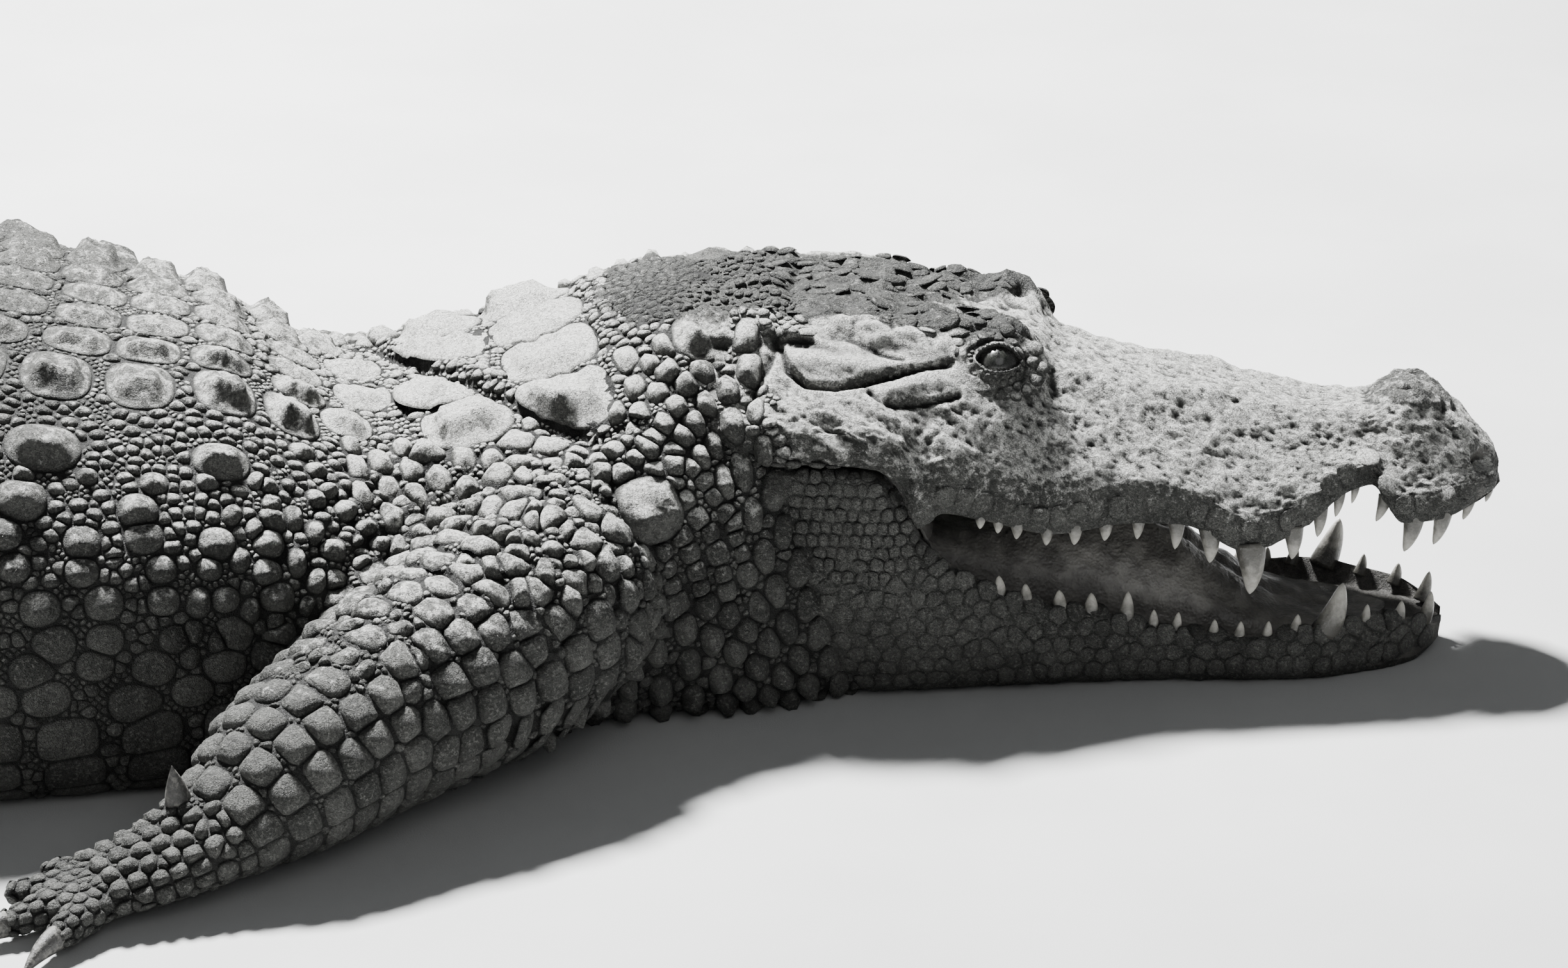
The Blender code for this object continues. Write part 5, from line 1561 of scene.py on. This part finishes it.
    def sinking(self, chosen, skin, edge, rings, out, size, flat):
        """How far large scales bend down to the skin at their edges, and up where it bulges through."""
        normal = self.normal[chosen][:, None]
        drop = np.clip(dot(settled(skin, edge) - edge, normal), -0.5 * size, 0.3 * size)
        sunk = np.append(np.tile(drop, (1, len(rings))), np.zeros((len(chosen), 1)), axis=1) * out**2
        if self.rank == 0:
            skin_below = settled(skin, flat + sunk[..., None] * normal)
            sunk = np.maximum(sunk, np.clip(dot(skin_below - flat, normal), -0.5 * size, 0.5 * size))
        return sunk

    def mesh(self, chosen, skin):
        """Points, faces, map and shading values of the chosen scales."""
        rings = np.array(RANKS[self.rank][1])
        count, corners = len(chosen), len(self.angle)
        outline, normal = self.outline[chosen], self.normal[chosen]
        edge_a, edge_b = outline * np.cos(self.angle), outline * np.sin(self.angle)
        a, b = over_rings(edge_a, rings), over_rings(edge_b, rings)
        out = np.append(np.repeat(rings, corners), 0.0)[None]
        size = outline.mean(axis=1)[:, None]
        flat = self.spread(chosen, a, b)
        h, fitted = self.heights(chosen, a, b, out, size, flat)
        sunk = 0.0
        if self.rank < 2:
            sunk = self.sinking(chosen, skin, self.spread(chosen, edge_a, edge_b), rings, out, size, flat)
        points = flat + (h + sunk)[..., None] * normal[:, None]
        each = points.shape[1]
        start = (np.arange(count) * each)[:, None, None]
        quads = (start + grid_faces(len(rings), corners, closed=True)[None]).reshape(-1, 4)
        inner = (len(rings) - 1) * corners + np.arange(corners)
        tip = np.column_stack([inner, np.roll(inner, -1), np.full(corners, each - 1)])
        spot = np.stack([a / self.long[chosen, None], b / self.wide[chosen, None]], axis=-1)
        uv = self.uv[chosen, None] + PATCH * spot
        rim = self.rim[chosen, None]
        flat_points = points.reshape(-1, 3)
        flat_points[:, 2] = np.maximum(flat_points[:, 2], 0.0003)
        values = {
            # rise: low at the buried base, where shade is painted, and at least the rim value
            "rise": (rim + (1 - rim) * np.clip(h / np.maximum(fitted, 1e-5), 0.0, 1.0)).ravel(),
            "tone": np.repeat(self.tone[chosen], each),
            # pit: the middle point, painted dark as a pit that the mesh does not sink
            "pit": (self.pit[chosen, None] * np.where(out == 0.0, 1.0, 0.0)).ravel(),
            # dry mud and painted light on each of the scale's facets that turns up
            "mud_and_lit_tops": mud_and_lit_tops_at(flat_points, self.slopes(points, normal, len(rings)).reshape(-1, 3)),
        }
        return flat_points, [quads, (start + tip[None]).reshape(-1, 3)], uv.reshape(-1, 2), values

    def slopes(self, points, normal, rings):
        """Which way the surface of each scale faces at its points."""
        count, corners = len(points), len(self.angle)
        grid = points[:, :-1].reshape(count, rings, corners, 3)
        tip = np.broadcast_to(points[:, None, -1:], (count, 1, corners, 3))
        inwards = np.append(grid[:, 1:], tip, axis=1) - np.append(grid[:, :1], grid[:, :-1], axis=1)
        around = np.roll(grid, -1, axis=2) - np.roll(grid, 1, axis=2)
        way = np.cross(inwards, around).reshape(count, -1, 3)
        way *= np.sign(dot(way, normal[:, None]))[..., None]
        return np.append(unit(way + 1e-12), normal[:, None], axis=1)

    def triangles(self):
        """How many triangles one scale takes."""
        corners, rings, _ = RANKS[self.rank]
        return corners * (2 * len(rings) - 1)


def settled(skin, points):
    """The nearest places on the skin to an array of points of any shape."""
    return skin.settle(points.reshape(-1, 3))[0].reshape(points.shape)


MOST_TRIANGLES = 190_000  # in one piece of coat


def make_coat(ranks, skin, finish):
    """Builds each zone's scales as joined meshes, none of them too large."""
    for number, zone in enumerate(ZONES):
        parts, size, piece = [], 0, 1
        for scales in ranks:
            chosen = np.flatnonzero(scales.zone == number)
            chosen = chosen[np.argsort(scales.uv[chosen, 0], kind="stable")]
            while len(chosen):
                fits = max((MOST_TRIANGLES - size) // scales.triangles(), 0)
                if fits:
                    parts.append(scales.mesh(chosen[:fits], skin))
                    size += scales.triangles() * len(chosen[:fits])
                    chosen = chosen[fits:]
                if len(chosen):
                    coat_piece(f"scales_{zone}_{piece}", parts, finish)
                    parts, size, piece = [], 0, piece + 1
        if parts:
            coat_piece(f"scales_{zone}_{piece}", parts, finish)


def coat_piece(name, parts, finish):
    """Joins scales of one or more ranks to one piece of coat."""
    points, faces = join([part[:2] for part in parts])
    values = {key: np.concatenate([part[3][key] for part in parts]) for key in parts[0][3]}
    uv = np.vstack([part[2] for part in parts])
    place_piece(name, points, faces, finish, uv=uv, values=values)


# Where the scales grow ------------------------------------------------------------------------------

draw = np.random.default_rng(7)
MIDDLE_HEIGHT = 0.11  # about how high the middle of the neck lies


def about(value, spread, count):
    """count numbers around value, by up to its given share."""
    return value * (1 + spread * draw.uniform(-1, 1, count))


def shaken(value, by, count):
    """value, or each of count values, moved by up to by."""
    return value + by * draw.uniform(-1, 1, count)


def on_body(scales, s, share, side, skin=None, **sizes):
    """Adds scales of the trunk at places (s, share, side), on the outermost skin where skin is given."""
    s, share, side = (np.asarray(v, float).ravel() for v in np.broadcast_arrays(s, share, side))
    points = body_at(s, share, side)
    ahead = unit(body_at(np.maximum(s - 0.006, 0.0), share, side) - body_at(s + 0.006, share, side))
    if skin:
        here, _, _ = spine(s)
        points = skin.outermost(here + MIDDLE_HEIGHT * UP, points)
    scales.add(points, ahead, **sizes)


# The back's shields: how far apart along the body, then share, half width, height and keel of each row
SHIELD_SPACING = [(0.33, 0.0435), (0.55, 0.052), (1.00, 0.056), (1.35, 0.056)]
SHIELD_ROWS = [(0.031, 0.0185, 0.0026, 0.0040), (0.091, 0.0190, 0.0028, 0.0080),
               (0.160, 0.0275, 0.0030, 0.0130)]
SHIELD_NARROWING = [(0.30, 0.90), (0.42, 1.0), (0.9, 1.12), (1.33, 0.85)]
# The rows beside them: (first place, spacing, share, half length, half width, height, keel)
SIDE_SHIELDS = (0.384, 0.086, 0.266, 0.0275, 0.0220, 0.0050, 0.0115)
SIDE_KNOBS = (0.362, 0.058, 0.330, 0.0155, 0.0150, 0.0050, 0.0085)
SIDE_TAPER = [(0.36, 0.7), (0.46, 1.0), (1.28, 0.8)]
# The flank's rows of beads: (share, spacing, half length, half width, height)
BEAD_ROWS = [(0.300, 0.031, 0.0085, 0.0080, 0.0055), (0.366, 0.033, 0.0112, 0.0105, 0.0062),
             (0.398, 0.031, 0.0105, 0.0098, 0.0056), (0.430, 0.029, 0.0118, 0.0108, 0.0052),
             (0.462, 0.029, 0.0128, 0.0115, 0.0046), (0.494, 0.031, 0.0145, 0.0125, 0.0040),
             (0.527, 0.035, 0.0170, 0.0135, 0.0034)]
BELLY_FROM, BELLY_SPACING, BELLY_PITCH = 0.566, 0.0400, 0.0440
LARGE = 0.018  # nuchals with a larger half length than this rank with the shields
NUCHALS = [  # s, share, half length, half width, height, keel
    (0.152, 0.060, 0.036, 0.040, 0.0022, 0.0070), (0.222, 0.055, 0.040, 0.036, 0.0022, 0.0070),
    (0.153, 0.180, 0.036, 0.040, 0.0022, 0.0170), (0.215, 0.160, 0.034, 0.032, 0.0022, 0.0120),
    (0.282, 0.048, 0.021, 0.022, 0.0022, 0.0050), (0.300, 0.135, 0.019, 0.020, 0.0024, 0.0080),
    (0.024, 0.150, 0.021, 0.024, 0.0026, 0.0100), (0.110, 0.383, 0.0235, 0.0235, 0.0075, 0.0110),
    (0.250, 0.330, 0.0170, 0.0150, 0.0060, 0.0070), (0.205, 0.300, 0.0150, 0.0150, 0.0055, 0.0070),
    (0.250, 0.205, 0.0150, 0.0150, 0.0050, 0.0065)]


def stepped(first, last, spacing):
    """Numbers from first to last, as far apart as a table says."""
    found = [first]
    while found[-1] < last:
        found.append(found[-1] + float(through(spacing, found[-1])))
    return np.array(found)


def nape_shields(shields, plates):
    """The nape's large keeled shields, and smaller ones round them."""
    for s, share, long, wide, height, keel in NUCHALS:
        large = long > LARGE
        on_body(shields if large else plates, s, share, [-1, 1], long=long, wide=wide, height=height,
                keel=keel, dome=4.0, corner=2.5, tone=0.8, rim=0.45 if s > 0.12 and large else 0.0)


def back_shields(shields):
    """Rows of keeled shields along the back, closer together over the shoulders."""
    for k, (share, wide, height, keel) in enumerate(SHIELD_ROWS):
        s = stepped(0.326 + 0.004 * k, 1.33, SHIELD_SPACING)
        long = 0.49 * through(SHIELD_SPACING, s)
        narrow = through(SHIELD_NARROWING, s)
        count = len(s)
        for side in (-1, 1):
            on_body(shields, shaken(s, 0.003, count), share * about(1, 0.03, count), side, long=long,
                    wide=wide * narrow, height=height, keel=about(keel, 0.25, count), dome=3.6, corner=2.6,
                    rim=0.15, tone=draw.uniform(0.45, 0.9, count))


def side_row(scales, first, spacing, share, long, wide, height, keel):
    """A row of oval shields or knobs along each side of the back."""
    s = np.arange(first, 1.28, spacing)
    count = len(s)
    for side in (-1, 1):
        size = about(1, 0.16, count) * through(SIDE_TAPER, s)
        on_body(scales, shaken(s, 0.006, count), share * about(1, 0.03, count), side, long=long * size,
                wide=wide * size, height=height * size, keel=keel, dome=2.8,
                tone=draw.uniform(0.35, 0.9, count))


def flank_beads(plates):
    """Rows of oval beads down the flanks."""
    for share, spacing, long, wide, height in BEAD_ROWS:
        for side in (-1, 1):
            s = np.arange(0.325, 1.32, spacing)
            count = len(s)
            s = shaken(s, 0.18 * spacing, count)
            size = about(1, 0.18, count)
            on_body(plates, s, shaken(share, 0.006, count), side, long=long * size, wide=wide * size,
                    height=0.5 * height, keel=0.85 * height, dome=3.2, tone=draw.uniform(0.2, 0.85, count))


def belly_plates(plates):
    """Flat square plates in rows across the belly."""
    for share in np.arange(BELLY_FROM, 0.995, BELLY_PITCH):
        s = np.arange(0.30, 1.31, BELLY_SPACING)
        for side in (-1, 1):
            on_body(plates, shaken(s, 0.0015, len(s)), share, side, long=0.0206, wide=0.0165, height=0.0024,
                    dome=5.0, corner=4.5, tone=draw.uniform(0.35, 0.75, len(s)))


# The neck's knobs: share from and to, spacing down the side, height
NECK_BANDS = [(0.16, 0.45, 0.0275, 0.0036), (0.45, 0.60, 0.0250, 0.0044), (0.60, 1.0, 0.0260, 0.0046)]


def neck_scales(plates, skin):
    """Knobs in columns down the neck's sides, larger and closer packed towards the throat."""
    for column, s in enumerate(np.arange(-0.010, 0.315, NECK_COLUMN)):
        half = float(girth(max(s, 0.0)))
        for share_from, share_to, pitch, height in NECK_BANDS:
            step = pitch / half
            share = np.arange(share_from + 0.5 * step * (column % 2), share_to, step)
            count = len(share)
            for side in (-1, 1):
                uneven = share_from < NECK_BANDS[1][0]
                size = draw.uniform(0.80, 1.08, count) if uneven else about(1.0, 0.06, count)
                along = shaken(s, 0.0014, count)
                on_body(plates, along, shaken(share, 0.10 * step, count), side, skin,
                        long=0.46 * NECK_COLUMN * size, wide=0.56 * pitch * size, height=height * size,
                        keel=1.4 * height * size, dome=3.4, corner=2.8, tone=draw.uniform(0.3, 0.95, count))


SHOULDER_BEAD, SHOULDER_SIZE = 0.0165, 0.0078  # from one bead to the next round a shoulder, and their size
SHOULDER_RINGS = range(5, 12)  # which of the wrinkles carry beads
LOW_OF_SHOULDER = 0.10  # beads stay above this height


def shoulder_scales(plates, skin):
    """Beads along the wrinkles round each shoulder."""
    for centre, side in ((SHOULDER_RIGHT, -1), (SHOULDER_LEFT, 1)):
        for ring in SHOULDER_RINGS:
            radius = (ring + 0.25) * WRINKLE_PITCH
            turn = np.arange(-0.35, math.pi + 0.35, SHOULDER_BEAD / radius)
            turn = shaken(turn, 0.12 * SHOULDER_BEAD / radius, len(turn))
            found, ahead = [], []
            for angle in turn:
                way = np.array([math.cos(angle), 0.0, math.sin(angle)])
                start = np.array(centre) + radius * way + np.array([0.0, side * 0.3, 0.0])
                hit = skin.tree.ray_cast(Vector(start), Vector((0.0, -side, 0.0)))[0]
                if hit and abs((Vector(centre) - hit).length - radius) < 0.08 and hit.z > LOW_OF_SHOULDER:
                    toward = Vector(centre) + (hit - Vector(centre)).normalized() * radius
                    found.append(skin.tree.find_nearest(toward)[0])
                    ahead.append((-math.sin(angle), 0.0, math.cos(angle)))
            size = about(SHOULDER_SIZE, 0.18, len(found)) * (1.10 if ring > 8 else 1.0)
            plates.add(np.array(found), np.array(ahead), long=1.15 * size, wide=0.88 * size,
                       height=0.0026, keel=0.0036, dome=3.2, tone=draw.uniform(0.3, 0.9, len(found)))


def limb_length(stations):
    """How far along a limb each of its stations lies."""
    line = np.array(stations)[:, :3]
    return np.concatenate([[0.0], np.cumsum(np.linalg.norm(np.diff(line, axis=0), axis=1))])


# Rings of scales down a limb: spacing along it and round it, half length, height, tilt
LIMB_RINGS = (0.0215, 0.0265, 0.0116, 0.0020, 0.0024)
WRIST_RINGS = (0.0130, 0.0140, 0.0084, 0.0022, 0.0006)
ROUND_A_DIGIT, DIGIT_RING = 7, 0.0095  # scales round a digit, and from one ring to the next


def limb_scales(plates, beads):
    """Rings of scales down each limb: large and lapped on its outer side, small at the wrist or ankle."""
    for _, side, stations, digits in limbs():
        along = limb_length(stations)
        for scales, first, last, (spacing, *sizes) in (
                (plates, 0.020, along[WRIST], LIMB_RINGS),
                (beads, along[WRIST], along[LIMB_END] + 0.004, WRIST_RINGS)):
            for row, place in enumerate(np.arange(first, last, spacing)):
                u = float(np.interp(place, along, np.arange(len(along))))
                ring_of_scales(scales, stations, u, row, *sizes)
        for start, way, length, radius, *_ in digits_of(side, stations, digits):
            for row, place in enumerate(np.arange(0.006, length, DIGIT_RING)):
                angle = (np.arange(ROUND_A_DIGIT) + 0.5 * (row % 2)) * 2 * math.pi / ROUND_A_DIGIT
                share = np.full(ROUND_A_DIGIT, place / length)
                points = digit_at(start, way, length, radius, share, angle)
                beads.add(points, np.broadcast_to(-way, points.shape), long=0.0060, wide=0.0062,
                          height=0.0017, tilt=0.0004, dome=2.8, corner=2.8,
                          tone=draw.uniform(0.2, 0.75, ROUND_A_DIGIT))


def ring_of_scales(scales, stations, u, row, width, long, height, tilt):
    """One ring of scales round a limb, keeled on its upper side. Every other ring is turned a little."""
    here = through(np.column_stack([np.arange(len(stations)), stations]), u)
    around = 2 * math.pi * math.sqrt((here[3] ** 2 + here[4] ** 2) / 2)
    count = max(int(round(around / width)), 6)
    angle = shaken(np.arange(count) + 0.5 * (row % 2), 0.14, count) * 2 * math.pi / count
    spot = shaken(u, 0.024, count)
    points = limb_at(stations, spot, angle)
    ahead = unit(limb_at(stations, spot - 0.08, angle) - limb_at(stations, spot + 0.08, angle))
    lower = fade(np.sin(angle), -0.6, 0.2)
    scales.add(points, ahead, long=long, wide=0.60 * around / count, height=height * (1 - 0.4 * lower),
               tilt=tilt, keel=1.5 * height * (1 - lower), dome=5.0, corner=3.4,
               tone=draw.uniform(0.25, 0.85, count))


BEAD_LEAST, BEAD_MORE, BEAD_SHARE = 0.0042, 0.0022, 0.16  # filling beads: size, its range, and how many
GRAIN_SIZE, TABLE_POINTS_TO_A_BUMP = 0.0030, 40


def fillers(beads, grains, skin):
    """Small beads and grains wherever larger scales leave room on the body and at the head's rear."""
    straight = from_body_frame(skin.points)
    rear = (skin.part > 0) & (straight[:, 0] < 0.004 + 0.030 * rough(straight, 26.0, 3))
    spots = skin.points[(skin.part == 0) | rear]
    body = skin.quads[np.all(skin.part[skin.quads] == 0, axis=1)]
    spots = np.vstack([spots, skin.points[body].mean(axis=1)])
    spots = spots[draw.permutation(len(spots))]
    small = 0.5 + 0.5 * rough(spots, 12.0, 2)
    size = BEAD_LEAST + BEAD_MORE * small * draw.uniform(0.6, 1.0, len(spots))
    ahead = np.broadcast_to(unit(np.array([1.0, 0.12, 0.08])), spots.shape)
    level = from_body_frame(spots)
    streaked = fade(level[:, 2], 0.250, 0.238) * fade(level[:, 0], -0.16, -0.20)
    some = draw.random(len(spots)) < BEAD_SHARE + 0.5 * streaked
    drawn_out = 1.35 + 1.0 * streaked[some]
    beads.add(spots[some], ahead[some], long=drawn_out * size[some], wide=size[some],
              height=(0.36 - 0.20 * streaked[some]) * size[some], keel=0.30 * size[some], dome=2.6,
              tone=draw.uniform(0.2, 0.85, some.sum()) * (1 - 0.6 * streaked[some]))
    top = (skin.part == 1) & (straight[:, 2] > 0.244) & (straight[:, 0] > -0.03) & (straight[:, 0] < 0.155)
    top = skin.points[top & (np.abs(straight[:, 1]) < 0.074)]
    top = top[draw.permutation(len(top))][:len(top) // TABLE_POINTS_TO_A_BUMP]
    size = draw.uniform(0.0030, 0.0060, len(top))
    beads.add(top, np.broadcast_to(unit(np.array([1.0, 0.12, 0.0])), top.shape), long=2.2 * size, wide=size,
              height=0.0013, dome=2.6, corner=2.2, rim=0.25, tone=draw.uniform(0.0, 0.35, len(top)))
    size = about(GRAIN_SIZE, 0.25, len(spots))
    grains.add(spots, ahead, long=1.45 * size, wide=1.05 * size, height=0.42 * size,
               tone=draw.uniform(0.2, 0.7, len(spots)))


def whorls():
    """(start, length) of each ring of scales along the tail."""
    found, s = [], TAIL_START
    while s < BODY_LENGTH - WHORL_LAST:
        length = float(through([(TAIL_START, WHORL_FIRST), (BODY_LENGTH, WHORL_LAST)], s))
        found.append((s, length))
        s += length
    return found


def tail_scales(plates):
    """Two rows of square scales round the tail in each whorl, keeled and lapped on its sides."""
    for start, length in whorls():
        half = float(girth(start + length / 2))
        for part in (0.25, 0.75):
            s = start + length * part
            count = max(int(round(half / (0.42 * length))), 3)
            share = (np.arange(count) + 0.5) / count
            keel = 0.0030 * fade(share, 0.1, 0.4)
            for side in (-1, 1):
                on_body(plates, s, share, side, long=0.27 * length, wide=0.53 * half / count, height=0.0028,
                        keel=keel, tilt=0.0012 if part > 0.5 else 0.0, dome=4.0, corner=4.0,
                        tone=draw.uniform(0.3, 0.8, count))


def crest_scales():
    """The tail's upright crests: two rows that draw together, and one row on from there."""
    parts, maps = [], []
    for start, length in [*BEFORE_THE_TAIL, *whorls()]:
        twin = float(fade(start, CREST_MERGE - 0.12, CREST_MERGE + 0.02))
        for side in (-1, 1) if twin > 0.03 else (0,):
            parts.append(crest_fin(start, length, side, twin))
            spread = parts[-1][0] - parts[-1][0].mean(axis=0)
            root = unwrapped(parts[-1][0].mean(axis=0)[None])[1][0]
            maps.append(root + PATCH * np.column_stack([spread[:, 0], spread[:, 2]]) / np.abs(spread).max())
    return parts, maps


FIN_ROWS, FIN_CORNERS = 12, 14
FIN_SWEEP = 0.22  # how far a fin leans back, as a share of its height
FIN_ROOT = 0.004  # how deep it sits


def crest_fin(start, length, side, twin):
    """One flat scale that stands up and rises to its hind end."""
    share = np.linspace(-0.10, 1.04, FIN_ROWS)
    s = start + length * share
    tall = float(through(CREST, min(start + 0.9 * length, BODY_LENGTH)))
    rounded = np.sqrt(np.clip(1 - np.clip(share - 0.86, 0, 1) / 0.18, 0.0, 1.0))
    lift = tall * np.clip(0.30 + 0.75 * share, 0.0, 1.0) * rounded
    lift = np.maximum(lift, 0.08 * tall)
    half, top, _ = through(BODY, s).T
    across = side * half * (CREST_SPREAD * twin + 0.20 * (1 - twin))
    here, back, left = spine(s)
    base = here + across[:, None] * left + (top - COAT - 0.10 * np.abs(across) - FIN_ROOT)[:, None] * UP
    thick = 0.0045 + 0.05 * tall
    turn = np.linspace(0.0, 2 * math.pi, FIN_CORNERS, endpoint=False)
    high = np.maximum(np.cos(turn), 0.0) ** 0.8 - 0.15 * (np.cos(turn) < 0)
    wide = np.sin(turn) * (1 - 0.70 * np.maximum(np.cos(turn), 0.0))
    rings = (base[:, None] + (lift[:, None] * high + FIN_ROOT)[..., None] * UP
             + (thick * wide)[None, :, None] * left[:, None]
             + (FIN_SWEEP * lift[:, None] * high)[..., None] * back[:, None])
    return closed_tube(rings)


def at_side(skin, x, z, side):
    """Places on the head's side that show at (x, z) in the straight head's side view."""
    start = to_body_frame(np.column_stack([x, np.full(len(x), 0.3 * side), z]))
    way = np.array([math.sin(HEAD_YAW), -math.cos(HEAD_YAW), 0.0]) * side
    hits = [skin.tree.ray_cast(Vector(p), Vector(way)) for p in start]
    good = np.array([hit[0] is not None for hit in hits])
    return np.array([hit[0] if hit[0] else (9.0, 9.0, 9.0) for hit in hits]), good


def staggered(x_from, x_to, z_from, z_to, pitch_x, pitch_z, jitter):
    """Places in rows along the head's side view, every other row moved by half a pitch."""
    x, z = [], []
    for row, height in enumerate(np.arange(z_from, z_to, pitch_z)):
        here = np.arange(x_from + 0.5 * pitch_x * (row % 2), x_to, pitch_x)
        x.append(shaken(here, jitter * pitch_x, len(here)))
        z.append(shaken(height, jitter * pitch_z, len(here)))
    return np.concatenate(x), np.concatenate(z)


# Scales of the head's sides
JAW_SCALES = {"long": 0.0092, "wide": 0.0086, "height": 0.0014, "dome": 4.0, "corner": 2.4, "pit": 0.4,
              "rim": 0.10}
CHEEK_SCALES = {"long": 0.0068, "wide": 0.0062, "height": 0.0018, "dome": 3.4, "corner": 3.4, "pit": 1.0,
                "rim": 0.05}
LIP_SCALES = {"long": 0.0088, "wide": 0.0080, "height": 0.0010, "dome": 4.0, "corner": 2.4, "pit": 0.3,
              "rim": 0.35}


def on_head(scales, skin, x, z, side, tones, sizes):
    """Adds scales of one kind at places (x, z) of the head's side view, in shades between two tones."""
    points, good = at_side(skin, x, z, side)
    ahead = np.broadcast_to([math.cos(HEAD_YAW), math.sin(HEAD_YAW), 0.0], points.shape)
    tone = draw.uniform(*tones, len(x))
    scales.add(points[good], ahead[good], tone=tone[good], **sizes)


def head_scales(beads, grains, skin):
    """Flat many-sided scales on the jaw and the lips, square ones on the soft cheek, and the lids' rows."""
    for side in (-1, 1):
        x, z = staggered(0.0, 0.45, 0.006, 0.17, 0.0120, 0.0102, 0.20)
        here = (z < through(JAW_TOP, x) - 0.004) & ((x > 0.10) | (z < 0.085))
        on_head(beads, skin, x[here], z[here], side, (0.5, 1.0), JAW_SCALES)
        x, z = staggered(-0.02, 0.105, 0.085, 0.172, 0.0098, 0.0088, 0.10)
        here = z < through(JAW_TOP, x) - 0.002
        on_head(beads, skin, x[here], z[here], side, (0.65, 1.15), CHEEK_SCALES)
        x, z = staggered(0.10, 0.478, 0.0, 0.032, 0.0130, 0.0112, 0.20)
        z = z + through(LIP, x) + 0.005
        here = z < through(LIP, x) + 0.010 + 0.006 * rough(np.column_stack([x, x, z]), 40.0, 2)
        on_head(beads, skin, x[here], z[here], side, (0.4, 0.9), LIP_SCALES)
        lid_scales(beads, grains, side)


# Rows of scales on the lids: share of the way out, spacing, size, height, first and last turn in degrees
LID_ROWS = [(0.075, 0.0030, 0.0016, 0.0010, 0, 360), (0.20, 0.0042, 0.0023, 0.0013, 150, 395),
            (0.36, 0.0062, 0.0034, 0.0014, 175, 385), (0.55, 0.0082, 0.0045, 0.0014, 170, 380),
            (0.77, 0.0090, 0.0050, 0.0014, 160, 370), (0.60, 0.0100, 0.0055, 0.0016, 30, 150),
            (0.85, 0.0110, 0.0062, 0.0018, 25, 160)]
SMALLEST_BEAD = 0.003


def lid_scales(beads, grains, side):
    """Rows of scales round one eye, which grow outwards from its rim."""
    centre, ahead, up, out = eye_frame(side)
    for share, spacing, size, height, first, last in LID_ROWS:
        span = math.radians(last - first)
        across = OPENING_LENGTH * (1 - share) + LID_LENGTH * share
        count = int(round(span * 0.85 * across / spacing))
        turn = math.radians(first) + span * (np.arange(count) + 0.5) / count
        opening, border = lid_edges(np.sin(turn))
        u = across * np.cos(turn)
        v = opening * (1 - share) + border * share
        ball = np.sqrt(np.maximum(LID_RADIUS**2 - u**2 - v**2, 0.0)) + 0.002
        points = centre + u[:, None] * ahead + v[:, None] * up + np.maximum(ball, 0.0105)[:, None] * out
        points = to_body_frame(points)
        target = grains if size < SMALLEST_BEAD else beads
        target.add(points, np.broadcast_to([1.0, 0.0, 0.0], points.shape), long=about(size, 0.1, count),
                   wide=size, height=height, dome=2.4, tone=draw.uniform(0.1, 0.5, count))


def grow_scales(skin, finish):
    """Plants all the scales, then shapes them from the largest to the smallest, and the tail's crest."""
    shields, plates, beads, grains = (Scales(rank) for rank in range(len(RANKS)))
    nape_shields(shields, plates)
    back_shields(shields)
    side_row(shields, *SIDE_SHIELDS)
    side_row(plates, *SIDE_KNOBS)
    flank_beads(plates)
    belly_plates(plates)
    shoulder_scales(plates, skin)
    limb_scales(plates, beads)
    tail_scales(plates)
    neck_scales(plates, skin)
    head_scales(beads, grains, skin)
    fillers(beads, grains, skin)
    laid = []
    for scales in (shields, plates, beads, grains):
        laid.append(scales.lay(skin, list(laid)))
    make_coat(laid, skin, finish)
    make_crest(finish)


def make_crest(finish):
    """The tail's crest as one piece, with shade painted towards the root of each fin and paler towards its
    edge.
    """
    parts, maps = crest_scales()
    points, faces = join(parts)
    counts = [len(p) for p, _ in parts]
    lowest = np.repeat([p[:, 2].min() for p, _ in parts], counts)
    values = {
        "rise": 0.4 + 0.6 * np.clip((points[:, 2] - lowest) / 0.03, 0.0, 1.0),
        "tone": np.repeat(draw.uniform(0.3, 0.8, len(parts)), counts),
        "mud_and_lit_tops": mud_and_lit_tops_at(points, np.broadcast_to([0.0, 0.5, 0.6], points.shape)),
        "pit": np.zeros(len(points)),
    }
    place_piece("tail_crest", points, faces, finish, uv=np.vstack(maps), values=values)


FLESH = ["head", "lower_jaw", "neck", "trunk_front", "trunk_rear", *[f"tail_{k}" for k in range(1, 6)],
         *[f"{part}_{side}" for part in ("upper_arm", "forearm", "hand", "thigh", "shank", "foot")
           for side in ("left", "right")]]


def main():
    """Builds the animal and the studio."""
    hide = hide_finish()
    skin = Skin()
    values = {"rise": skin.rise(), "tone": tone_at(skin.points), "mud_and_lit_tops": mud_and_lit_tops_at(skin.points, skin.normals),
              "pit": np.zeros(len(skin.points)), "lining": skin.lining()}
    place_piece("skin", skin.points, skin.faces, hide, FLESH, values=values)
    grow_scales(skin, hide)
    make_eyes(eye_finish())
    ivory = tooth_finish()
    make_teeth("teeth_upper", UPPER_TEETH, WIDTH, LIP, -1, ivory)
    make_teeth("teeth_lower", LOWER_TEETH, JAW_HALF, JAW_TOP, 1, ivory)
    make_claws(claw_finish())
    make_tongue(mouth_finish())
    make_studio()
    make_camera()


main()
bpy.context.view_layer.update()
